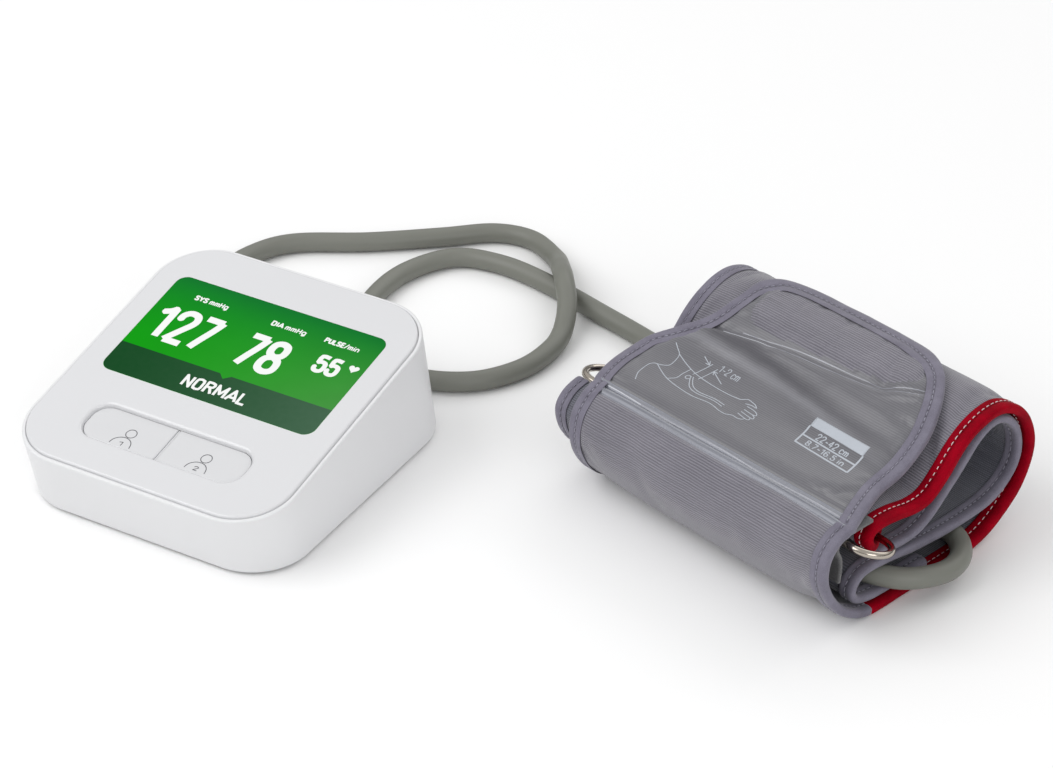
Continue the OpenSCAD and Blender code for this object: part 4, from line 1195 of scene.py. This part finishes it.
ring_line = [(1.5 + 9.5 * cos(t), 9.5 * sin(t)) for t in np.linspace(-pi / 2, pi / 2, 25)]
ring_line += [(a, 9.5) for a in np.linspace(-1, -148, 40)]
ring_line += [(-150.5 - 9.5 * cos(t), 9.5 * sin(t)) for t in np.linspace(pi / 2, -pi / 2, 25)]
ring_line += [(a, -9.5) for a in np.linspace(-148, -1, 40)]
ring_line = [ring_place(a, y * cos(lean), 38.6 + y * sin(lean)) for a, y in ring_line]
RING_RADIUS = 0.00155
ring = tube("ring", ring_line, RING_RADIUS, nickel, 20, True)

felt_line = Line([
    (-12.1, 23.5), (-11.5, 30), (-11.9, 35), (-13.7, 38.6), (-12.9, 42.6), (-8.5, 44.7), (-2.5, 45.5), (5.5, 46)])


class FeltSheet(Sheet):
    """The felt, in the ring's frame."""

    place = staticmethod(ring_place)


tab = sheet_mesh("ring_tab", FeltSheet(felt_line, lambda s: -1.5, lambda s: -118.0, 1.4, 0.0, 0.12, 12.0),
                 steps_between(0, felt_line.length, 1.6), 60, [felt])
pad_sheet = Sheet(flap_line, lambda s: -48.0, lambda s: -104.0, 3.25)
hook_rows = steps_between(flap_line.near(55, 66.5), flap_line.near(72, 69.1), 1.4)
hook = sheet_mesh("hook_patch", pad_sheet, hook_rows, 30, [hooks])
for v, (a, s) in zip(hook.data.vertices, [(a, s) for s in hook_rows for a in across_roll(pad_sheet, s, 30)]):
    v.co = cuff(a, *flap_line.at(s, -2.7))


def surface(piece):
    """Places on a piece of cloth, seen from above: at(a, b, lift) is lift millimetres off it."""
    tree = BVHTree.FromObject(piece, bpy.context.evaluated_depsgraph_get())

    def at(a, b, lift):
        spot, n, _, _ = tree.ray_cast(cuff(a, b, 90), Vector((0, 0, -1)))
        if spot is None:
            spot, n, _, _ = tree.find_nearest(cuff(a, b, 50))
        return spot + n * lift * 0.001
    return at


on_print, on_front = surface(flap_cloth), surface(wrap_cloth)


def dense(a, b, step=2.0):
    n = max(int(hypot(b[0] - a[0], b[1] - a[1]) / step), 1)
    return [(a[0] + (b[0] - a[0]) * k / n, a[1] + (b[1] - a[1]) * k / n) for k in range(n + 1)]


arm = [
    [(-133.2, 26.4), (-130.6, 24.6), (-127.3, 22.3), (-126.0, 19), (-125.7, 14.8), (-128, 12.9), (-130, 12.2)],
    [(-128.8, -1.7), (-131.6, 3), (-132.5, 8.9), (-131.6, 11.4), (-130, 12.2)],
    [(-130, 12.2), (-125, 9.6), (-120.3, 7.7), (-114, 6.4), (-104.3, 5.7), (-95.7, 7.0), (-89.4, 6.0)],
    [(-127.3, 22.3), (-120, 19.4), (-112.8, 17.4), (-104.3, 16.5), (-94.7, 16.4), (-87.9, 17.1)],
    [(-119.6, 7.9), (-117.4, 10.6), (-117.5, 14.3), (-116.8, 18.4)],
    [(-113.6, 15.2), (-112.1, 12.7), (-108.9, 9.4), (-104, 8.3), (-96, 9.4), (-90.4, 8.8)],
    [(-112.6, 15.4), (-110.9, 13.2), (-107.9, 10.6), (-103.6, 9.6), (-96, 10.6), (-90.2, 10.2)],
    [(-87.9, 17.1), (-85.6, 18.9), (-83.5, 18.8), (-80.8, 18.2), (-78.9, 16.9)],
    [(-82.8, 15.6), (-79.4, 15.4), (-76.8, 14.6), (-75.9, 13.4), (-77.6, 12.9), (-82.4, 13.4)],
    [(-77.4, 12.9), (-75.6, 11.9), (-76.0, 10.8), (-82.4, 11.6)],
    [(-76.6, 10.8), (-76.2, 9.6), (-77.4, 9.0), (-82.6, 9.9)],
    [(-77.9, 9.0), (-78.6, 7.8), (-80.6, 7.2), (-83.2, 7.3), (-86, 6.0), (-89.4, 6.0)],
    [(-84.6, 16.4), (-81.8, 17.1), (-79.4, 16.9)],
]


def weld_run(start, end, where, sway):
    """A line along a weld, for its painted highlight, swaying a little round its place across it."""
    return [(a, where(a) + sway * sin(a / 9 + 40 * sway)) for a in steps_between(start, end, 1.5)], False


def beside_crease(off):
    return lambda a: crease_b(a) + off


# Painted highlights along the welds: bright on the crease's upper edge and the ridge's left end, fainter along the
# rest and on the front weld.
crease_weld_highlight = drawn("crease_weld_highlight", [weld_run(-120, -94, beside_crease(-0.8), 0.1)], 0.34, on_print, weld_highlight)
crease_runs = [weld_run(-94, -15, beside_crease(-0.8), 0.1), weld_run(-112, -24, beside_crease(1.2), 0.25)]
crease_faint_highlight = drawn("crease_weld_faint_highlight", crease_runs, 0.32, on_print, weld_faint_highlight)
ridge_weld_highlight = drawn("ridge_weld_highlight", [weld_run(-139, -116, lambda a: -11.2, 0.25)], 0.36, on_print, weld_highlight)
ridge_faint_highlight = drawn("ridge_weld_faint_highlight", [weld_run(-116, -6, lambda a: -11.2, 0.25)], 0.4, on_print, weld_faint_highlight)
front_weld_highlight = drawn("front_weld_highlight", [weld_run(-136, -7, lambda a: -16.4, 0.3)], 0.36, on_front, weld_faint_highlight)
marks = [(curve_of(line), False) for line in arm]
marks.append((circle(-114.2, 13.9, 1.15, 16), True))
for tail, head in (((-114.0, 16.4), (-111.4, 25.6)), ((-110.2, 15.6), (-107.7, 24.6))):
    marks.append((dense(tail, head), False))
for tail, head in (((-117.4, 26.9), (-112.2, 24.4)), ((-100.6, 19.2), (-108.4, 22.8))):
    marks.append((dense(tail, head), False))
    d = Vector((head[0] - tail[0], head[1] - tail[1])).normalized()
    for side in (-1, 1):
        wing = (head[0] - d.x * 2.0 - d.y * side * 1.0, head[1] - d.y * 2.0 + d.x * side * 1.0)
        marks.append((dense(wing, head), False))
marks += [(line, False) for line in written("1-2 cm", -107.4, 23.8, 11.0, 3.4)]
drawing = drawn("arm_drawing", marks, 0.36, on_print, print_ink)


def on_box(u, v):
    """A place in the size box, u and v from 0 to 1."""
    low = Vector((-53.2, 11.6)).lerp(Vector((-24.6, 10.4)), u)
    high = Vector((-55.6, 27.2)).lerp(Vector((-27.0, 26.6)), u)
    return tuple(low.lerp(high, v))


def patch(name, low, high, material, rows=9, columns=25):
    """A thin printed patch across the size box, from v low to v high."""
    places = [on_box(u, v) for v in np.linspace(low, high, rows) for u in np.linspace(0, 1, columns)]
    points = [on_print(*place, lift) for lift in (0.05, -0.15) for place in places]
    return mesh(name, points, shell_faces(rows, columns), material)


def dense_line(corners, step=2.0):
    return [q for a, b in zip(corners, corners[1:]) for q in dense(a, b, step)], False


size_top = patch("size_box_top", 0.68, 1, print_ink)
frame_lines = [dense_line([on_box(u, v) for u, v in corners])
               for corners in (((0, 0.68), (0, 0), (1, 0), (1, 0.68)), ((0, 0.345), (0.5, 0.345), (1, 0.345)))]
size_frame = drawn("size_box_frame", frame_lines, 0.8, on_print, print_ink)


def box_text(name, word, u, v, width, height, pen=0.5):
    lines = [dense_line([on_box(x, y) for x, y in line], 0.8) for line in written(word, u, v, width, height, 0)]
    return drawn(name, lines, pen, on_print, print_ink)


size_text = box_text("size_range", "22-42 cm", 0.2, 0.41, 0.6, 0.2)
size_text2 = box_text("size_range_inches", "8.7-16.5 in", 0.14, 0.08, 0.72, 0.19)

# ---- Cuff: what moves, what stands for what, and the flap's area ----

ON_TABLE = 0.0001
on_flap = (drawing, size_top, size_frame, size_text, size_text2, crease_weld_highlight, crease_faint_highlight, ridge_weld_highlight, ridge_faint_highlight)
for piece in (wrap_cloth, red_tape, left_tape, front_tape, red_thread, left_thread, front_thread, fold_cloth,
              *fold_tapes):
    for v in piece.data.vertices:
        v.co.z = max(v.co.z, ON_TABLE)
for piece in (flap_cloth, front_tape, front_thread, *on_flap):
    piece.parent = None
    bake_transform(piece)
for piece in (wrap_cloth, fold_cloth, lobe_cloth, tab):
    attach(piece, "base")
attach(hook, "flap")
for piece, node in (
    (wrap_cloth, "cuff_wrap"), (flap_cloth, "cuff_flap"), (fold_cloth, "cuff_fold"), (front_tape, "flap_binding"),
    (red_tape, "red_binding"), (left_tape, "wrap_binding"), (fold_tapes[0], "fold_binding"), (ring, "metal_ring"),
    (tab, "ring_felt"), (hook, "hook_pad"),
):
    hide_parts(node)
for name, pieces in (
    ("cuff_cloth", (wrap_cloth, flap_cloth, front_weld_highlight, *on_flap)),
    ("cuff_lining", (fold_cloth, lobe_cloth)),
    ("grey_tape", (front_tape, left_tape, *fold_tapes, lobe_tape, front_thread, left_thread, fold_thread)),
    ("red_tape", (red_tape, red_thread)), ("ring_nickel", (ring,)), ("felt", (tab,)), ("hook", (hook,)),
):
    for piece in pieces:
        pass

flap_area = sum((flap_right(s) - flap_left(s)) * flap_end / 200 for s in np.linspace(0, flap_end, 200)) * 1e-6


# ---- Materials of the parts that keep their CAD shape ----

kept = {
    "housing": white_body, "panel": white_plate, "button": white_button,
    "lens": display_green, "screen": display_bar, "hose": plug_rubber,
}
for name, color, rough, *rest in (
    ("backlight", (0.78, 0.82, 0.78), 0.35, 0.03, 500),
    ("inner_plastic", (0.62, 0.62, 0.60), 0.5, 0.05, 700),
    ("screw_steel", (0.50, 0.50, 0.52), 0.3, 0.1, 1500, 0.000006, 1.0),
    ("board", (0.015, 0.17, 0.06), 0.38, 0.16, 1400, 0.000015),
    ("chip", (0.022, 0.022, 0.024), 0.45, 0.15, 1600),
    ("shield", (0.62, 0.62, 0.63), 0.26, 0.07, 1200, 0.000006, 1.0),
    ("battery", (0.05, 0.13, 0.34), 0.3, 0.1, 900, 0.00002, 0.0, 0.4),
    ("soft_mount", (0.03, 0.03, 0.032), 0.7, 0.12, 1500),
    ("motor_steel", (0.55, 0.55, 0.56), 0.33, 0.08, 1300, 0.000008, 1.0),
    ("rotor", (0.42, 0.30, 0.16), 0.36, 0.12, 1500, 0.00001, 1.0),
    ("inner_tube", (0.58, 0.60, 0.58), 0.35, 0.05, 900, 0.00002, 0.0, 0.3),
    ("jack", (0.70, 0.70, 0.72), 0.35, 0.04, 800),
    ("foot", (0.20, 0.20, 0.21), 0.75, 0.08, 1800),
    ("nipple", (0.10, 0.10, 0.105), 0.45, 0.1, 1200),
    ("bladder", (0.50, 0.43, 0.32), 0.55, 0.06, 700),
):
    kept[name] = moulded(name, color, rough, *rest)
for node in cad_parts.values():
    for held in node.material_slots:
        if held.material and held.material.name in kept:
            held.material = kept[held.material.name]


# ---- Valve spring: a coil of wire filling the CAD spring's box; the real one shortens as the plunger goes in ----

low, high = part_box("valve_spring")
wire = 0.0003
turn = (high.x - low.x) / 2 - wire
middle = (low + high) / 2
foot = Vector((middle.x, middle.y, low.z))
coil_path = []
for t in np.linspace(0, 1, 97):
    angle, climb = 6 * pi * t, wire + (high.z - low.z - 2 * wire) * t
    coil_path.append(foot + Vector((turn * cos(angle), turn * sin(angle), climb)))
coil = tube("valve_coil", coil_path, wire, kept["screw_steel"], 10)
stands("valve_spring")
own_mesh(coil)


# ---- Light and floor ----

def area(name, place, target, size, power, tint=(1, 1, 1)):
    light = bpy.data.lights.new(name, "AREA")
    light.shape = "RECTANGLE"
    light.size, light.size_y = size
    light.energy = power
    light.color = tint
    lamp = bpy.data.objects.new(name, light)
    scene.collection.objects.link(lamp)
    lamp.location = place
    lamp.rotation_euler = (Vector(target) - Vector(place)).to_track_quat("-Z", "Y").to_euler()


area("key", (-0.9, -0.8, 1.35), (0, 0, 0.03), (1.4, 1.4), 15)
area("fill", (1.5, -1.1, 0.8), (0, 0, 0.03), (1.2, 1.0), 9)
area("back", (0.2, 1.5, 1.2), (0, 0, 0.03), (1.8, 0.8), 5)
world = bpy.data.worlds.new("world")
scene.world = world
world.use_nodes = True
sky = world.node_tree
way = sky.nodes.new("ShaderNodeTexCoord")
split = sky.nodes.new("ShaderNodeSeparateXYZ")
rise = sky.nodes.new("ShaderNodeMapRange")
sky.links.new(way.outputs["Generated"], split.inputs[0])
sky.links.new(split.outputs[2], rise.inputs["Value"])
for key, value in (("From Min", 0.02), ("From Max", 0.45), ("To Min", 0.12), ("To Max", 1.0)):
    rise.inputs[key].default_value = value
sky.links.new(rise.outputs[0], sky.nodes["Background"].inputs["Color"])
sky.nodes["Background"].inputs["Strength"].default_value = 0.72
scene.view_settings.view_transform = "Standard"

floor_nodes = Nodes("floor")
floor_nodes.set(Base_Color=(0.93, 0.93, 0.93), Roughness=0.8, Specular_IOR_Level=0.1)
corners = [Vector((x, y, 0)) for x, y in ((-6, -6), (6, -6), (6, 6), (-6, 6))]
floor = mesh("floor", corners, [[0, 1, 2, 3]], floor_nodes.material, rides=False)
